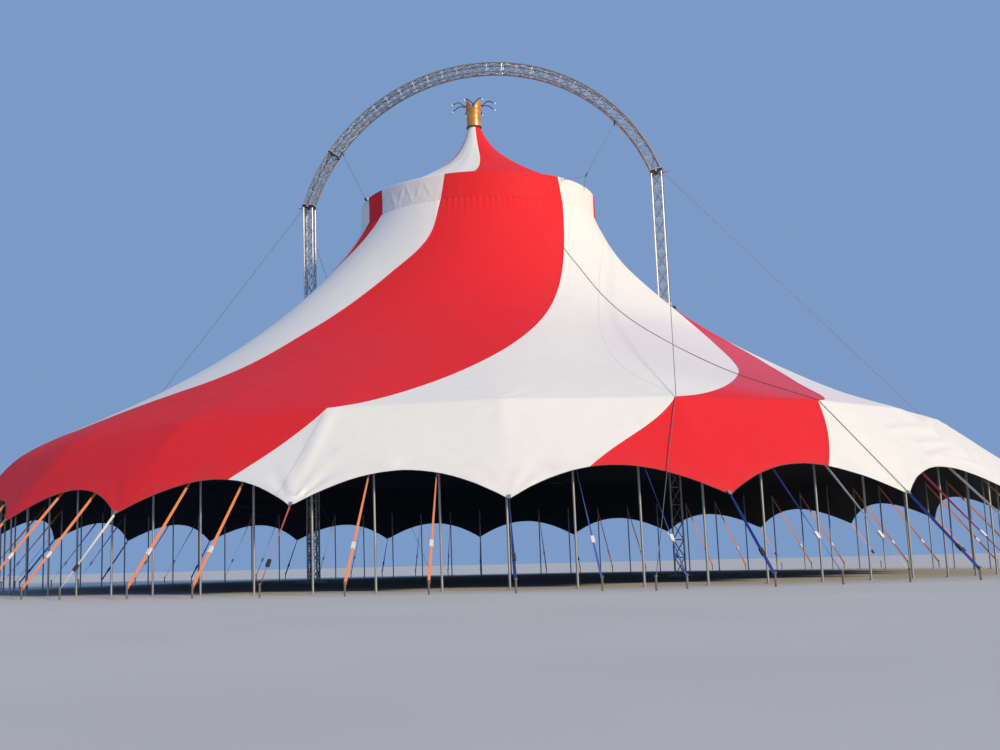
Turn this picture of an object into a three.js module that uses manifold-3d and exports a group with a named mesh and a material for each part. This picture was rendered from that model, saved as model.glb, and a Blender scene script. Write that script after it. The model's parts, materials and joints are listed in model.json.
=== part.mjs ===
// A round big top: a striped canvas hung from a ring, the ring hung from one lattice arch.
// Millimetres, +Z up, ground at z = 0. The arch stands in the XZ plane, its right leg on +X.
import * as THREE from "three";
import Module from "manifold-3d";

const wasm = await Module();
wasm.setup();

const rad = THREE.MathUtils.degToRad;

// The canvas
const TIP_RADIUS = 16000;
const TIP_HEIGHT = 1680;
const SCALLOP_RADIUS = 15375;
const SCALLOP_HEIGHT = 2320;
const KNEE_RADIUS = 13960;
const KNEE_HEIGHT = 3830;
const BAYS = 24;
const BAY = 360 / BAYS;
const FIRST_TIP = -3.75;
const CLOTH = 24;
const CLOTH_GAP = 0.7;

// The coloured panels: width at the knee in bays, colour, and how far the seam on the
// right of each strays from the common swirl, in degrees: at the scalloped edge, and at
// chosen places between the ring (0) and the knee (1). The list goes round twice.
const STRIPES = [
  [4, "red", 1.4, [[0, 0], [1, 0]]],
  [2, "white", -1.6, [[0, 2.5], [0.03, 9], [0.12, 13.5], [0.22, 15], [0.57, 6.5], [0.8, 2.6], [1, 0]]],
  [1, "red", 2.1, [[0, 0], [0.1, 3], [0.55, 4.3], [0.67, 0.1], [0.85, -2.6], [1, 0]]],
  [3, "white", 0, [[0, -15.8], [0.086, -4.5], [0.14, -10], [0.5, -13], [1, 0]]],
  [1, "red", 0, [[0, -17.7], [0.08, -16.5], [0.13, -20.5], [0.5, -19], [1, 0]]],
  [1, "white", 0, [[0, 1], [0.055, 5.8], [0.14, 3.8], [0.35, 9], [0.68, 17], [0.8, 11], [0.9, 8.5], [1, 0]]],
];
const FIRST_STRIPE = -10;
const COLUMNS_PER_BAY = 4;

// The swirl of the panels, in degrees between the knee and the ring
const SWIRL = 56.25;

// The roof isn't quite round. Each half is fuller on one side and drawn in on the other:
// the angle where, how wide, how much further out and higher the knee is there, and the
// lifts of the slope above it, each with its height, place and width. A place is the
// square root of the share of the way from the ring to the knee.
const SWELLS = [
  { middle: -143, wide: 26, reach: 560, lift: -200, slopes: [[660, 0.46, 0.28]] },
  { middle: -22, wide: 20, reach: -620, lift: 245, slopes: [[320, 0.43, 0.17], [-270, 0.88, 0.15]] },
];
// The ring keeps the canvas level with it, within about this share of the slope
const RING_HOLD = 0.02;

// The cupola: a ring with a cloth wall, a small cone and a crown
const RING_RADIUS = 3840;
const RING_BOTTOM = 11330;
const RING_TOP = 12110;
const RING_TUBE = 40;
const CONE_TOP_RADIUS = 190;
const CONE_TOP = 14900;
const CROWN_RADIUS = 250;
const CROWN_HEIGHT = 960;
const CROWN_NOTCH = 300;
const NOTCH_NARROWING = 0.72;
const CROWN_SIDES = 16;
const CROWN_POINTS = 4;
const CROWN_WIRES = 8;
const CROWN_WIRE = 28;
const BEAD = 38;
const FIRST_POINT = -35;
const FIRST_WIRE = -57.5;

// The arch: two upright lattice legs and a curved lattice between them
const ARCH_RADIUS = 6160;
const ARCH_SWEEP = 71.4;
const TRUSS = 310;
const CHORD = 50;
const RUNG = 28;
const LEG_FRAMES = 7;
const SPAN_FRAMES = 7;
const LEG_HOLE = 450;
const BASE_PLATE = 700;
const BASE_THICK = 25;
const HALF_SPAN = ARCH_RADIUS * Math.sin(rad(ARCH_SWEEP));
const SPRING_HEIGHT = 12765;
const ARCH_CENTRE = SPRING_HEIGHT - ARCH_RADIUS * Math.cos(rad(ARCH_SWEEP));

// The cables
const CABLE = 24;
const CLAMP = 40;
const STUB = 180;
const HOIST_FRAME = 5;
const BLOCK = 70;
const BLOCK_LENGTH = 180;
const LUG = 100;
const LUG_DROP = 60;
const ROPE = 20;
const ROPE_END = 1.97;
const GUY_REACH = 17560;
const OVER_REACH = 17800;

// The round of side poles and the ties down to the ground
const POLES_PER_BAY = 3;
const POLE_ROUND = 14880;
const POLE = 54;
const STRAP_WIDTH = 60;
const STRAP_THICK = 10;
const HEM_DROP = 11;
const STAKE_RADIUS = 17150;
const TIP_STAKE_RADIUS = 17400;
const STAKE = 45;
const STAKE_HEIGHT = 260;
const PEG_HEIGHT = STAKE_HEIGHT - 60;
const HEAD_ROPE_DROP = 130;
const STRAP_DROP = 150;
const HEM = 30;
const HEM_THICK = 12;
const SETS = 8;
const SIDES = 6;
const GAP = 0.3;
const NEAR = 200;

// The finishes: colour, roughness and metalness
const RED_CLOTH = { color: 0xdc2733, roughness: 0.45, metalness: 0 };
const WHITE_CLOTH = { color: 0xeeebe3, roughness: 0.5, metalness: 0 };
const GOLD = { color: 0xd9962b, roughness: 0.35, metalness: 0.4 };
const BLACK_WIRE = { color: 0x1c1c1f, roughness: 0.4, metalness: 0.2 };
const ALUMINIUM = { color: 0xc8cacc, roughness: 0.35, metalness: 0.7 };
const ZINC = { color: 0xa2a6a8, roughness: 0.45, metalness: 0.7 };
const WIRE_ROPE = { color: 0x55585c, roughness: 0.5, metalness: 0.6 };
const DARK_ROPE = { color: 0x26262a, roughness: 0.8, metalness: 0 };
const WEBBING = { color: 0xcf5a1e, roughness: 0.75, metalness: 0 };

const group = new THREE.Group();

// A point from an angle in degrees, a distance from the axis and a height
function at(angle, radius, height) {
  return new THREE.Vector3(radius * Math.cos(rad(angle)), radius * Math.sin(rad(angle)), height);
}

// Solids are joined and cut as manifolds and go back to three.js at the end
function solid(geometry) {
  const flat = geometry.index ? geometry.toNonIndexed() : geometry;
  const points = flat.attributes.position.array;
  const seen = new Map();
  const vertices = [];
  const corners = [];
  for (let i = 0; i < points.length; i += 3) {
    const key = [points[i], points[i + 1], points[i + 2]].map((v) => Math.round(v * 1000)).join(",");
    if (!seen.has(key)) {
      seen.set(key, vertices.length / 3);
      vertices.push(points[i], points[i + 1], points[i + 2]);
    }
    corners.push(seen.get(key));
  }
  const triangles = [];
  for (let i = 0; i < corners.length; i += 3) {
    const [a, b, c] = corners.slice(i, i + 3);
    if (a !== b && b !== c && c !== a) triangles.push(a, b, c);
  }
  const mesh = new wasm.Mesh({
    numProp: 3,
    vertProperties: new Float32Array(vertices),
    triVerts: new Uint32Array(triangles),
  });
  return new wasm.Manifold(mesh);
}

function add(name, body, finish) {
  const mesh = body.getMesh();
  const geometry = new THREE.BufferGeometry();
  geometry.setAttribute("position", new THREE.BufferAttribute(new Float32Array(mesh.vertProperties), 3));
  geometry.setIndex(Array.from(mesh.triVerts));
  const node = new THREE.Mesh(geometry, new THREE.MeshStandardMaterial(finish));
  node.name = name;
  group.add(node);
}

// Joined bodies, without the specks that can be left where bars end on one point
function fuse(bodies) {
  const pieces = wasm.Manifold.union(bodies).decompose();
  return pieces.reduce((most, piece) => (piece.volume() > most.volume() ? piece : most));
}

// A bar swept through points: square or flat with four sides, near round with more.
// Its width lies along the hint, which is level and crossways to the tent's radius if none is given.
function bar(points, width, { thick = width, sides = 4, hint } = {}) {
  const vertices = [];
  points.forEach((point, i) => {
    const after = points[Math.min(i + 1, points.length - 1)];
    const along = after.clone().sub(points[Math.max(i - 1, 0)]).normalize();
    const across = hint ? hint.clone() : new THREE.Vector3(-point.y, point.x, 0).normalize();
    if (Math.abs(across.dot(along)) > 0.9 || across.length() < 0.5) across.set(0, 0, 1);
    across.addScaledVector(along, -across.dot(along)).normalize();
    const upright = along.clone().cross(across);
    for (let k = 0; k < sides; k += 1) {
      const turn = (2 * Math.PI * (k + 0.5)) / sides;
      const reach = 0.5 / Math.cos(Math.PI / sides);
      const corner = point.clone().addScaledVector(across, width * reach * Math.cos(turn));
      vertices.push(...corner.addScaledVector(upright, thick * reach * Math.sin(turn)));
    }
  });
  const index = [];
  const end = (points.length - 1) * sides;
  for (let row = 0; row < end; row += sides) {
    for (let k = 0; k < sides; k += 1) {
      const a = row + k;
      const b = row + ((k + 1) % sides);
      index.push(a, b, b + sides, a, b + sides, a + sides);
    }
  }
  for (let k = 1; k + 1 < sides; k += 1) index.push(0, k + 1, k, end, end + k, end + k + 1);
  const geometry = new THREE.BufferGeometry();
  geometry.setAttribute("position", new THREE.BufferAttribute(new Float32Array(vertices), 3));
  geometry.setIndex(index);
  return solid(geometry);
}

// The body that make(shift) gives, shifted until it all but touches the nearest of the others
function seat(make, others, start) {
  let shift = start;
  for (let i = 0; i < 8; i += 1) {
    const body = make(shift);
    shift -= Math.min(...others.map((other) => body.minGap(other, NEAR))) - GAP;
  }
  return make(shift);
}

function ball(centre, radius) {
  const shape = new THREE.IcosahedronGeometry(radius, 0);
  shape.translate(centre.x, centre.y, centre.z);
  return solid(shape);
}

// A ring of few flat sides, turned from corner points given as radius and height
function lathe(corners, sides) {
  const loop = corners.map(([radius, height]) => new THREE.Vector2(radius, height));
  loop.push(loop[0].clone());
  const shape = new THREE.LatheGeometry(loop, sides);
  shape.rotateX(Math.PI / 2);
  return solid(shape);
}

// The canvas falls from the ring to the knee: steep at the ring, flatter further out
function fall(t) {
  return (1 - t) * (0.6 + 0.4 * Math.exp(-t / 0.165));
}

function swirl(t) {
  return SWIRL * (1 - t) ** 0.6 * (0.48 + 0.52 * Math.exp(-t / 0.27));
}

// The share of a bay, 0 and 1 at the tips
function share(angle) {
  const bays = (angle - FIRST_TIP) / BAY;
  return bays - Math.floor(bays);
}

function flatten(angle) {
  return Math.cos(rad(BAY / 2)) / Math.cos(rad(BAY * (share(angle) - 0.5)));
}

function bell(x, middle, wide) {
  return Math.exp(-(((x - middle) / wide) ** 2));
}

// t runs 0 at the ring, 1 at the knee and 2 at the scalloped edge
function canvas(angle, t) {
  const down = Math.min(t, 1);
  let reach = KNEE_RADIUS;
  let kneeHeight = KNEE_HEIGHT;
  let rise = 0;
  for (const swell of SWELLS) {
    const aside = THREE.MathUtils.euclideanModulo(angle - swell.middle + 90, 180) - 90;
    const near = bell(aside, 0, swell.wide);
    reach += near * swell.reach;
    kneeHeight += near * swell.lift;
    for (const [height, middle, wide] of swell.slopes) {
      rise += near * height * bell(Math.sqrt(down), middle, wide);
    }
  }
  const radius = RING_RADIUS + (reach - RING_RADIUS) * down;
  const bend = 1 + (flatten(angle) - 1) * down ** 3;
  const held = 1 - Math.exp(-down / RING_HOLD);
  const roof = at(angle, radius * bend, kneeHeight + (RING_BOTTOM - kneeHeight) * fall(down) + rise * held);
  if (t <= 1) return roof;
  const arc = 1 - (2 * share(angle) - 1) ** 2;
  const edge = at(
    angle,
    TIP_RADIUS + (SCALLOP_RADIUS - TIP_RADIUS) * arc,
    TIP_HEIGHT + (SCALLOP_HEIGHT - TIP_HEIGHT) * arc,
  );
  return roof.lerp(edge, t - 1);
}

// The outward side of the canvas
function outward(angle, t) {
  const side = canvas(angle + 0.5, t).sub(canvas(angle - 0.5, t));
  const down = canvas(angle, Math.min(t + 0.01, 2)).sub(canvas(angle, Math.max(t - 0.01, 0)));
  return down.cross(side).normalize();
}

// Rows are close together where the canvas bends most
const ROWS = [0, 0.04, 0.085, 0.13, 0.22, 0.38, 0.56, 0.68, 0.8, 0.93, 1, 1.5, 2];

function leaning(t) {
  return t <= 1 ? swirl(t) : -(BAY / 2) * (t - 1);
}

// The value at x of a smooth line through knots, which are pairs of x and value
function follow(knots, x) {
  const rises = knots.slice(1).map(([end, after], i) => (after - knots[i][1]) / (end - knots[i][0]));
  const slopes = knots.map((_, i) => ((rises[i - 1] ?? rises[i]) + (rises[i] ?? rises[i - 1])) / 2);
  const i = Math.max(0, knots.findIndex(([end]) => end >= x) - 1);
  const [[low, before], [high, after]] = [knots[i], knots[i + 1]];
  const span = high - low;
  const s = (x - low) / span;
  const eased = before + (after - before) * s * s * (3 - 2 * s);
  return eased + span * s * (1 - s) * ((1 - s) * slopes[i] - s * slopes[i + 1]);
}

// Where the seams meet the scalloped edge, and how far each strays there
const edgeStrays = new Map();

function edgeKey(angle) {
  return Math.round((((angle % 360) + 360) % 360) * 100);
}

// One coloured panel: a thin shell between two swirling seams
function panel(first, bays, left, right) {
  const columns = bays * COLUMNS_PER_BAY;
  const width = columns + 1;
  edgeStrays.set(edgeKey(FIRST_TIP + BAY * (first + bays) + leaning(2)), right[0]);
  const outer = [];
  const inner = [];
  for (const t of ROWS) {
    const [leftShift, rightShift] = [left, right].map(([, knots]) => (t < 1 ? follow(knots, t) : 0));
    const low = Math.max(0, t - 1);
    for (let i = 0; i <= columns; i += 1) {
      const part = i / columns;
      const edge = (i === 0) * left[0] + (i === columns) * right[0];
      const shift = leftShift * (1 - part) + rightShift * part + edge * low;
      const angle = FIRST_TIP + BAY * (first + bays * part) + leaning(t) + shift;
      const gap = (i === 0) - (i === columns);
      const turn = THREE.MathUtils.radToDeg((gap * CLOTH_GAP) / RING_RADIUS);
      const top = canvas(angle + turn, t);
      outer.push(top);
      inner.push(top.clone().addScaledVector(outward(angle, t), -CLOTH));
    }
  }
  const back = outer.length;
  const last = (ROWS.length - 1) * width;
  const index = [];
  for (let row = 0; row < last; row += width) {
    for (let i = 0; i < columns; i += 1) {
      const a = row + i;
      const d = a + width + 1;
      index.push(a, d - 1, d, a, d, a + 1);
      index.push(back + a, back + d, back + d - 1, back + a, back + a + 1, back + d);
    }
  }
  const rim = [];
  for (let i = 0; i < columns; i += 1) rim.push([i + 1, i], [last + i, last + i + 1]);
  for (let row = 0; row < last; row += width) {
    rim.push([row, row + width], [row + width + columns, row + columns]);
  }
  for (const [a, b] of rim) index.push(a, back + b, b, a, back + a, back + b);
  const geometry = new THREE.BufferGeometry();
  const points = [...outer, ...inner].flatMap((point) => point.toArray());
  geometry.setAttribute("position", new THREE.BufferAttribute(new Float32Array(points), 3));
  geometry.setIndex(index);
  return solid(geometry);
}

// The legs of the arch pass through square holes in the cloth
function legHole(sign) {
  const hole = new THREE.BoxGeometry(LEG_HOLE, LEG_HOLE, SPRING_HEIGHT);
  hole.translate(sign * HALF_SPAN, 0, SPRING_HEIGHT / 2);
  return solid(hole);
}

const legHoles = legHole(1).add(legHole(-1));
const panels = [];
let seam = FIRST_STRIPE;
for (const round of ["front", "back"]) {
  let before = STRIPES[STRIPES.length - 1].slice(2);
  STRIPES.forEach(([bays, colour, ...after], i) => {
    const cloth = panel(seam, bays, before, after).subtract(legHoles);
    panels.push(cloth);
    add(`canvas_${round}_${i + 1}_${colour}`, cloth, colour === "red" ? RED_CLOTH : WHITE_CLOTH);
    seam += bays;
    before = after;
  });
}

// The cupola: cloth wall, ring truss inside it and the cone over it
const wallSides = BAYS * 2;
add("cupola_wall", lathe([
  [RING_RADIUS - CLOTH, RING_BOTTOM + GAP],
  [RING_RADIUS, RING_BOTTOM + GAP],
  [RING_RADIUS, RING_TOP],
  [RING_RADIUS - CLOTH, RING_TOP],
], wallSides), WHITE_CLOTH);

const ringLine = RING_RADIUS - CLOTH - GAP - RING_TUBE / 2;
const lowRing = RING_BOTTOM + RING_TUBE + 60;
const highRing = RING_TOP - RING_TUBE - 20;
const half = RING_TUBE / 2;
const hoops = [lowRing, highRing].map((height) => lathe([
  [ringLine - half, height - half],
  [ringLine + half, height - half],
  [ringLine + half, height + half],
  [ringLine - half, height + half],
], BAYS));
const posts = [];
for (let i = 0; i < BAYS; i += 2) {
  posts.push(bar([at(i * BAY, ringLine, lowRing), at(i * BAY, ringLine, highRing)], RING_TUBE - 8));
}
add("cupola_ring", fuse([...hoops, ...posts]), ZINC);

const coneSkin = [1, 0.8, 0.55, 0.33, 0.17, 0.07, 0].map((t) => [
  CONE_TOP_RADIUS + (RING_RADIUS - CONE_TOP_RADIUS) * t,
  RING_TOP + GAP + (CONE_TOP - RING_TOP) * (1 - t) ** 1.25 * (0.73 + 0.27 * Math.exp(-t / 0.1)),
]);
const coneLining = coneSkin.map(([radius, height]) => [radius - 2 * CLOTH, height]).reverse();
add("cupola_cone", lathe([...coneSkin, ...coneLining], BAYS), RED_CLOTH);

// The crown on the cone: a gold cup with its rim cut into flaring points, and curled
// wires with beads that come out through the notches between them
const crownFoot = CONE_TOP + 2 * GAP;
const crownTop = crownFoot + CROWN_HEIGHT;
const crownRim = crownTop - CROWN_NOTCH;
const crownWaist = crownFoot + CROWN_HEIGHT * 0.4;
const cup = lathe([
  [40, crownFoot],
  [CROWN_RADIUS - 10, crownFoot],
  [CROWN_RADIUS - 12, crownWaist],
  [CROWN_RADIUS + 6, crownRim],
  [CROWN_RADIUS + 50, crownTop],
  [CROWN_RADIUS + 30, crownTop],
  [CROWN_RADIUS - 24, crownRim],
  [CROWN_RADIUS - 42, crownWaist],
  [CROWN_RADIUS - 40, crownFoot + 30],
  [40, crownFoot + 30],
], CROWN_SIDES);
const notchStep = 360 / CROWN_POINTS;
const notches = [];
for (let i = 0; i < CROWN_POINTS; i += 1) {
  const notch = new THREE.BoxGeometry(CROWN_RADIUS * 2, CROWN_NOTCH * 2, CROWN_NOTCH * 2);
  notch.rotateX(rad(45));
  notch.scale(1, NOTCH_NARROWING, 1);
  notch.translate(CROWN_RADIUS * 1.2, 0, crownRim + CROWN_NOTCH * Math.SQRT2);
  notch.rotateZ(rad(FIRST_POINT + (i + 0.5) * notchStep));
  notches.push(solid(notch));
}
add("crown", cup.subtract(wasm.Manifold.union(notches)), GOLD);

const hubFoot = crownFoot + 30 + GAP;
const hub = [[50, hubFoot], [110, hubFoot], [110, hubFoot + 50], [50, hubFoot + 50]];
const wires = [lathe(hub, CROWN_WIRES)];
for (let i = 0; i < CROWN_WIRES; i += 1) {
  const angle = FIRST_WIRE + (i * 360) / CROWN_WIRES;
  const notch = FIRST_POINT + (Math.round((angle - FIRST_POINT) / notchStep - 0.5) + 0.5) * notchStep;
  const through = notch + 0.3 * (angle - notch);
  const line = [
    at(through, 90, crownFoot + 70),
    at(through, 150, crownRim + 80),
    at(through, 300, crownRim + 120),
    at(angle, 540, crownRim + 190),
    at(angle, 770, crownRim + 60),
  ];
  wires.push(bar(line, CROWN_WIRE), ball(line[4], BEAD));
}
add("crown_wires", fuse(wires), BLACK_WIRE);

// A lattice: four chords through square sections, and a frame of rungs at each section inside
function lattice(sections) {
  const sideways = new THREE.Vector3(0, 1, 0);
  const square = [[1, 1], [1, -1], [-1, -1], [-1, 1]];
  const corners = sections.map(({ centre, out }) => square.map(([x, y]) => centre
    .clone()
    .addScaledVector(out, (x * TRUSS) / 2)
    .addScaledVector(sideways, (y * TRUSS) / 2)));
  const bodies = [0, 1, 2, 3].map((k) => bar(corners.map((frame) => frame[k]), CHORD, { hint: sideways }));
  for (const frame of corners.slice(1, -2)) {
    for (let k = 0; k < 4; k += 1) bodies.push(bar([frame[k], frame[(k + 1) % 4]], RUNG, { hint: sideways }));
  }
  return fuse(bodies);
}

// The leg and the span meet in a mitre, half way between their two directions. Both are
// made too long there and trimmed.
const OVERLAP = 120;
const mitre = (90 - ARCH_SWEEP) / 2;
const spans = {};
for (const [side, sign] of [["right", 1], ["left", -1]]) {
  const legSections = [];
  const legFoot = BASE_THICK + GAP;
  const legOut = new THREE.Vector3(sign, 0, 0);
  for (let i = 0; i <= LEG_FRAMES + 1; i += 1) {
    const within = legFoot + ((SPRING_HEIGHT - legFoot) * i) / LEG_FRAMES;
    const height = i > LEG_FRAMES ? SPRING_HEIGHT + OVERLAP : within;
    legSections.push({ centre: new THREE.Vector3(sign * HALF_SPAN, 0, height), out: legOut });
  }
  const spanSections = [];
  for (let i = 0; i <= SPAN_FRAMES; i += 1) {
    const turn = rad((ARCH_SWEEP * i) / SPAN_FRAMES);
    const out = new THREE.Vector3(sign * Math.sin(turn), 0, Math.cos(turn));
    const centre = out.clone().multiplyScalar(ARCH_RADIUS).add(new THREE.Vector3(0, 0, ARCH_CENTRE));
    spanSections.push({ centre, out });
  }
  const end = spanSections[SPAN_FRAMES];
  const down = new THREE.Vector3(sign * end.out.z, 0, -Math.abs(end.out.x));
  spanSections.push({ centre: end.centre.clone().addScaledVector(down, OVERLAP), out: end.out });
  const normal = [-sign * Math.sin(rad(mitre)), 0, Math.cos(rad(mitre))];
  const level = normal[0] * sign * HALF_SPAN + normal[2] * SPRING_HEIGHT;
  const flipped = normal.map((v) => -v);
  add(`arch_leg_${side}`, lattice(legSections).trimByPlane(flipped, GAP / 2 - level), ALUMINIUM);
  const whole = lattice(spanSections).trimByPlane(normal, level + GAP / 2);
  spans[side] = whole.trimByPlane([sign, 0, 0], GAP / 2);
  add(`arch_span_${side}`, spans[side], ALUMINIUM);
  const plate = new THREE.BoxGeometry(BASE_PLATE, BASE_PLATE, BASE_THICK);
  plate.translate(sign * HALF_SPAN, 0, BASE_THICK / 2);
  add(`arch_base_${side}`, solid(plate), ZINC);
}

// Cables that lift the ring: a clamp across the arch, and a block that hangs on one lug of
// the ring or over two of them. For each, the side of its clamp, the angle, distance and
// height of its block from the ring's edge, and the angles of its lugs.
const HOISTS = [
  ["right", 1, -22.5, 180, 220, [-37.5, -19]],
  ["left", -1, -144, 70, -90, [-144]],
];
for (const [side, sign, hang, aside, above, lugs] of HOISTS) {
  const hangs = rad((ARCH_SWEEP * HOIST_FRAME) / SPAN_FRAMES);
  const radial = new THREE.Vector3(sign * Math.sin(hangs), 0, Math.cos(hangs));
  const high = ARCH_RADIUS - TRUSS / 2 - CHORD / 2 - CLAMP;
  const top = new THREE.Vector3(0, 0, ARCH_CENTRE).addScaledVector(radial, high);
  const across = new THREE.Vector3(0, TRUSS / 2 + CHORD / 2, 0);
  const block = at(hang, RING_RADIUS + aside, RING_TOP + above);
  const blockTop = block.clone().addScaledVector(top.clone().sub(block).normalize(), BLOCK_LENGTH);
  const clamp = (drop) => {
    const middle = top.clone().addScaledVector(radial, -drop);
    return bar([middle.clone().sub(across), middle.clone().add(across)], CLAMP, { hint: radial });
  };
  const bodies = [seat(clamp, [spans[side]], 10), bar([top, block], CABLE), bar([blockTop, block], BLOCK)];
  for (const angle of lugs) {
    const lug = at(angle, RING_RADIUS + GAP + CLAMP / 2, RING_TOP - LUG_DROP);
    const [low, high] = [-LUG / 2, LUG / 2].map((step) => lug.clone().setZ(lug.z + step));
    bodies.push(bar([block, lug], CABLE), bar([low, high], CLAMP));
  }
  add(`hoist_${side}`, fuse(bodies), WIRE_ROPE);
}

function stake(angle, radius) {
  return bar([at(angle, radius, 0), at(angle, radius, STAKE_HEIGHT)], STAKE);
}

function overCanvas(angle, t, lift) {
  return canvas(angle, t).addScaledVector(outward(angle, t), lift);
}

// Guys from a stub at the top of each leg: one straight out past a tip, one down over a
// corner of the knee and from there aslant to the middle of the next bay
for (const [side, turn, outAngle] of [["right", 0, BAY + FIRST_TIP], ["left", 180, 180 + FIRST_TIP]]) {
  const top = at(turn, HALF_SPAN + TRUSS / 2 + CHORD / 2 + GAP + CLAMP / 2, SPRING_HEIGHT - 40);
  const stub = at(turn, STUB, 0).add(top);
  const aside = new THREE.Vector3(0, TRUSS / 2 + CHORD / 2, 0);
  const outReach = GUY_REACH / Math.abs(Math.cos(rad(outAngle)));
  const outEnd = at(outAngle, outReach, PEG_HEIGHT);
  const overAngle = turn + FIRST_TIP - 4 * BAY;
  const overStake = overAngle - BAY / 2;
  const overEnd = at(overStake, OVER_REACH, PEG_HEIGHT);
  add(`guys_${side}`, fuse([
    bar([top.clone().sub(aside), top.clone().add(aside)], CLAMP),
    bar([top, stub], CLAMP),
    bar([top, outEnd], CABLE),
    stake(outAngle, outReach),
    bar([top, overCanvas(overAngle, 1, 90), overCanvas(overAngle - BAY / 4, 2, 90), overEnd], CABLE),
    stake(overStake, OVER_REACH),
  ]), WIRE_ROPE);
}

// Storm ropes laid over the canvas to a tip. Each leaves a seam under the ring and lies
// with a little slack: for some t, how far it is from the tip's own line, in degrees.
const SWAY = [
  [0, 11],
  [0.05, 5],
  [0.09, 0.6],
  [0.23, 1.6],
  [0.45, -0.4],
  [0.66, -1.9],
  [0.81, -2],
  [0.95, -0.5],
  [1, 0],
  [1.05, 0],
  [ROPE_END, 0],
];

for (const [side, turn] of [["front", -3 * BAY], ["back", 180 - 3 * BAY]]) {
  const rows = [...ROWS.slice(1, -1), ROPE_END];
  const line = (lift) => rows.map((t) => overCanvas(FIRST_TIP + turn + follow(SWAY, t), t, lift));
  add(`storm_rope_${side}`, seat((lift) => bar(line(lift), ROPE), panels, 60), DARK_ROPE);
}

// Side poles under the canvas, joined by a rope at their heads, with straps down to stakes
function headHeight(angle) {
  const knee = canvas(angle, 1);
  const inner = Math.hypot(knee.x, knee.y);
  const arc = 1 - (2 * share(angle) - 1) ** 2;
  const outer = TIP_RADIUS + (SCALLOP_RADIUS - TIP_RADIUS) * arc;
  return canvas(angle, 1 + (POLE_ROUND - inner) / (outer - inner)).z;
}

const baysPerSet = BAYS / SETS;
for (let set = 0; set < SETS; set += 1) {
  const start = FIRST_TIP + set * baysPerSet * BAY;
  const bodies = [];
  const heads = [];
  for (let i = 0; i < baysPerSet * POLES_PER_BAY; i += 1) {
    const angle = start + (i * BAY) / POLES_PER_BAY;
    const top = headHeight(angle);
    const foot = at(angle, POLE_ROUND, 0);
    const pole = (drop) => bar([foot, at(angle, POLE_ROUND, top - drop)], POLE, { sides: SIDES });
    bodies.push(seat(pole, panels, 120));
    heads.push(at(angle, POLE_ROUND, top - HEAD_ROPE_DROP));
    if (i % POLES_PER_BAY) {
      const peg = at(angle, STAKE_RADIUS, PEG_HEIGHT);
      const head = at(angle, POLE_ROUND, top - STRAP_DROP);
      bodies.push(bar([head, peg], STRAP_WIDTH, { thick: STRAP_THICK }));
      bodies.push(stake(angle, STAKE_RADIUS));
    }
  }
  add(`side_poles_${set + 1}`, fuse([...bodies, bar(heads, ROPE)]), ZINC);

  const steps = baysPerSet * COLUMNS_PER_BAY;
  const hem = (reach) => {
    const line = [];
    for (let i = 0; i <= steps; i += 1) {
      const even = start + (i * BAY) / COLUMNS_PER_BAY;
      const angle = even + (edgeStrays.get(edgeKey(even)) ?? 0);
      const down = canvas(angle, 2).sub(canvas(angle, 1)).normalize();
      line.push(canvas(angle - (i === steps ? 0.1 : 0), 2).addScaledVector(down, reach));
    }
    return bar(line, HEM, { thick: HEM_THICK, hint: new THREE.Vector3(0, 0, 1) });
  };
  const ties = [seat(hem, panels, HEM)];
  for (let i = 0; i < baysPerSet; i += 1) {
    const angle = start + i * BAY;
    const peg = at(angle, TIP_STAKE_RADIUS, PEG_HEIGHT);
    const tip = at(angle, TIP_RADIUS + HEM_DROP, TIP_HEIGHT - HEM_DROP);
    ties.push(bar([tip, peg], STRAP_WIDTH, { thick: STRAP_THICK }));
    ties.push(stake(angle, TIP_STAKE_RADIUS));
  }
  add(`edge_ties_${set + 1}`, fuse(ties), WEBBING);
}

export default group;
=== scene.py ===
# %% [markdown]
# # A striped big top
# This script dresses the measured model of a round circus tent. The frame that is loaded
# first is the model itself, in metres, with the ground at z = 0 and the arch in the XZ plane.
# Every piece below is built in code in that same space, so nothing has to be fitted later.

# %% Load the frame
import json
import math

import bpy
from mathutils import Matrix, Vector, noise

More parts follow.
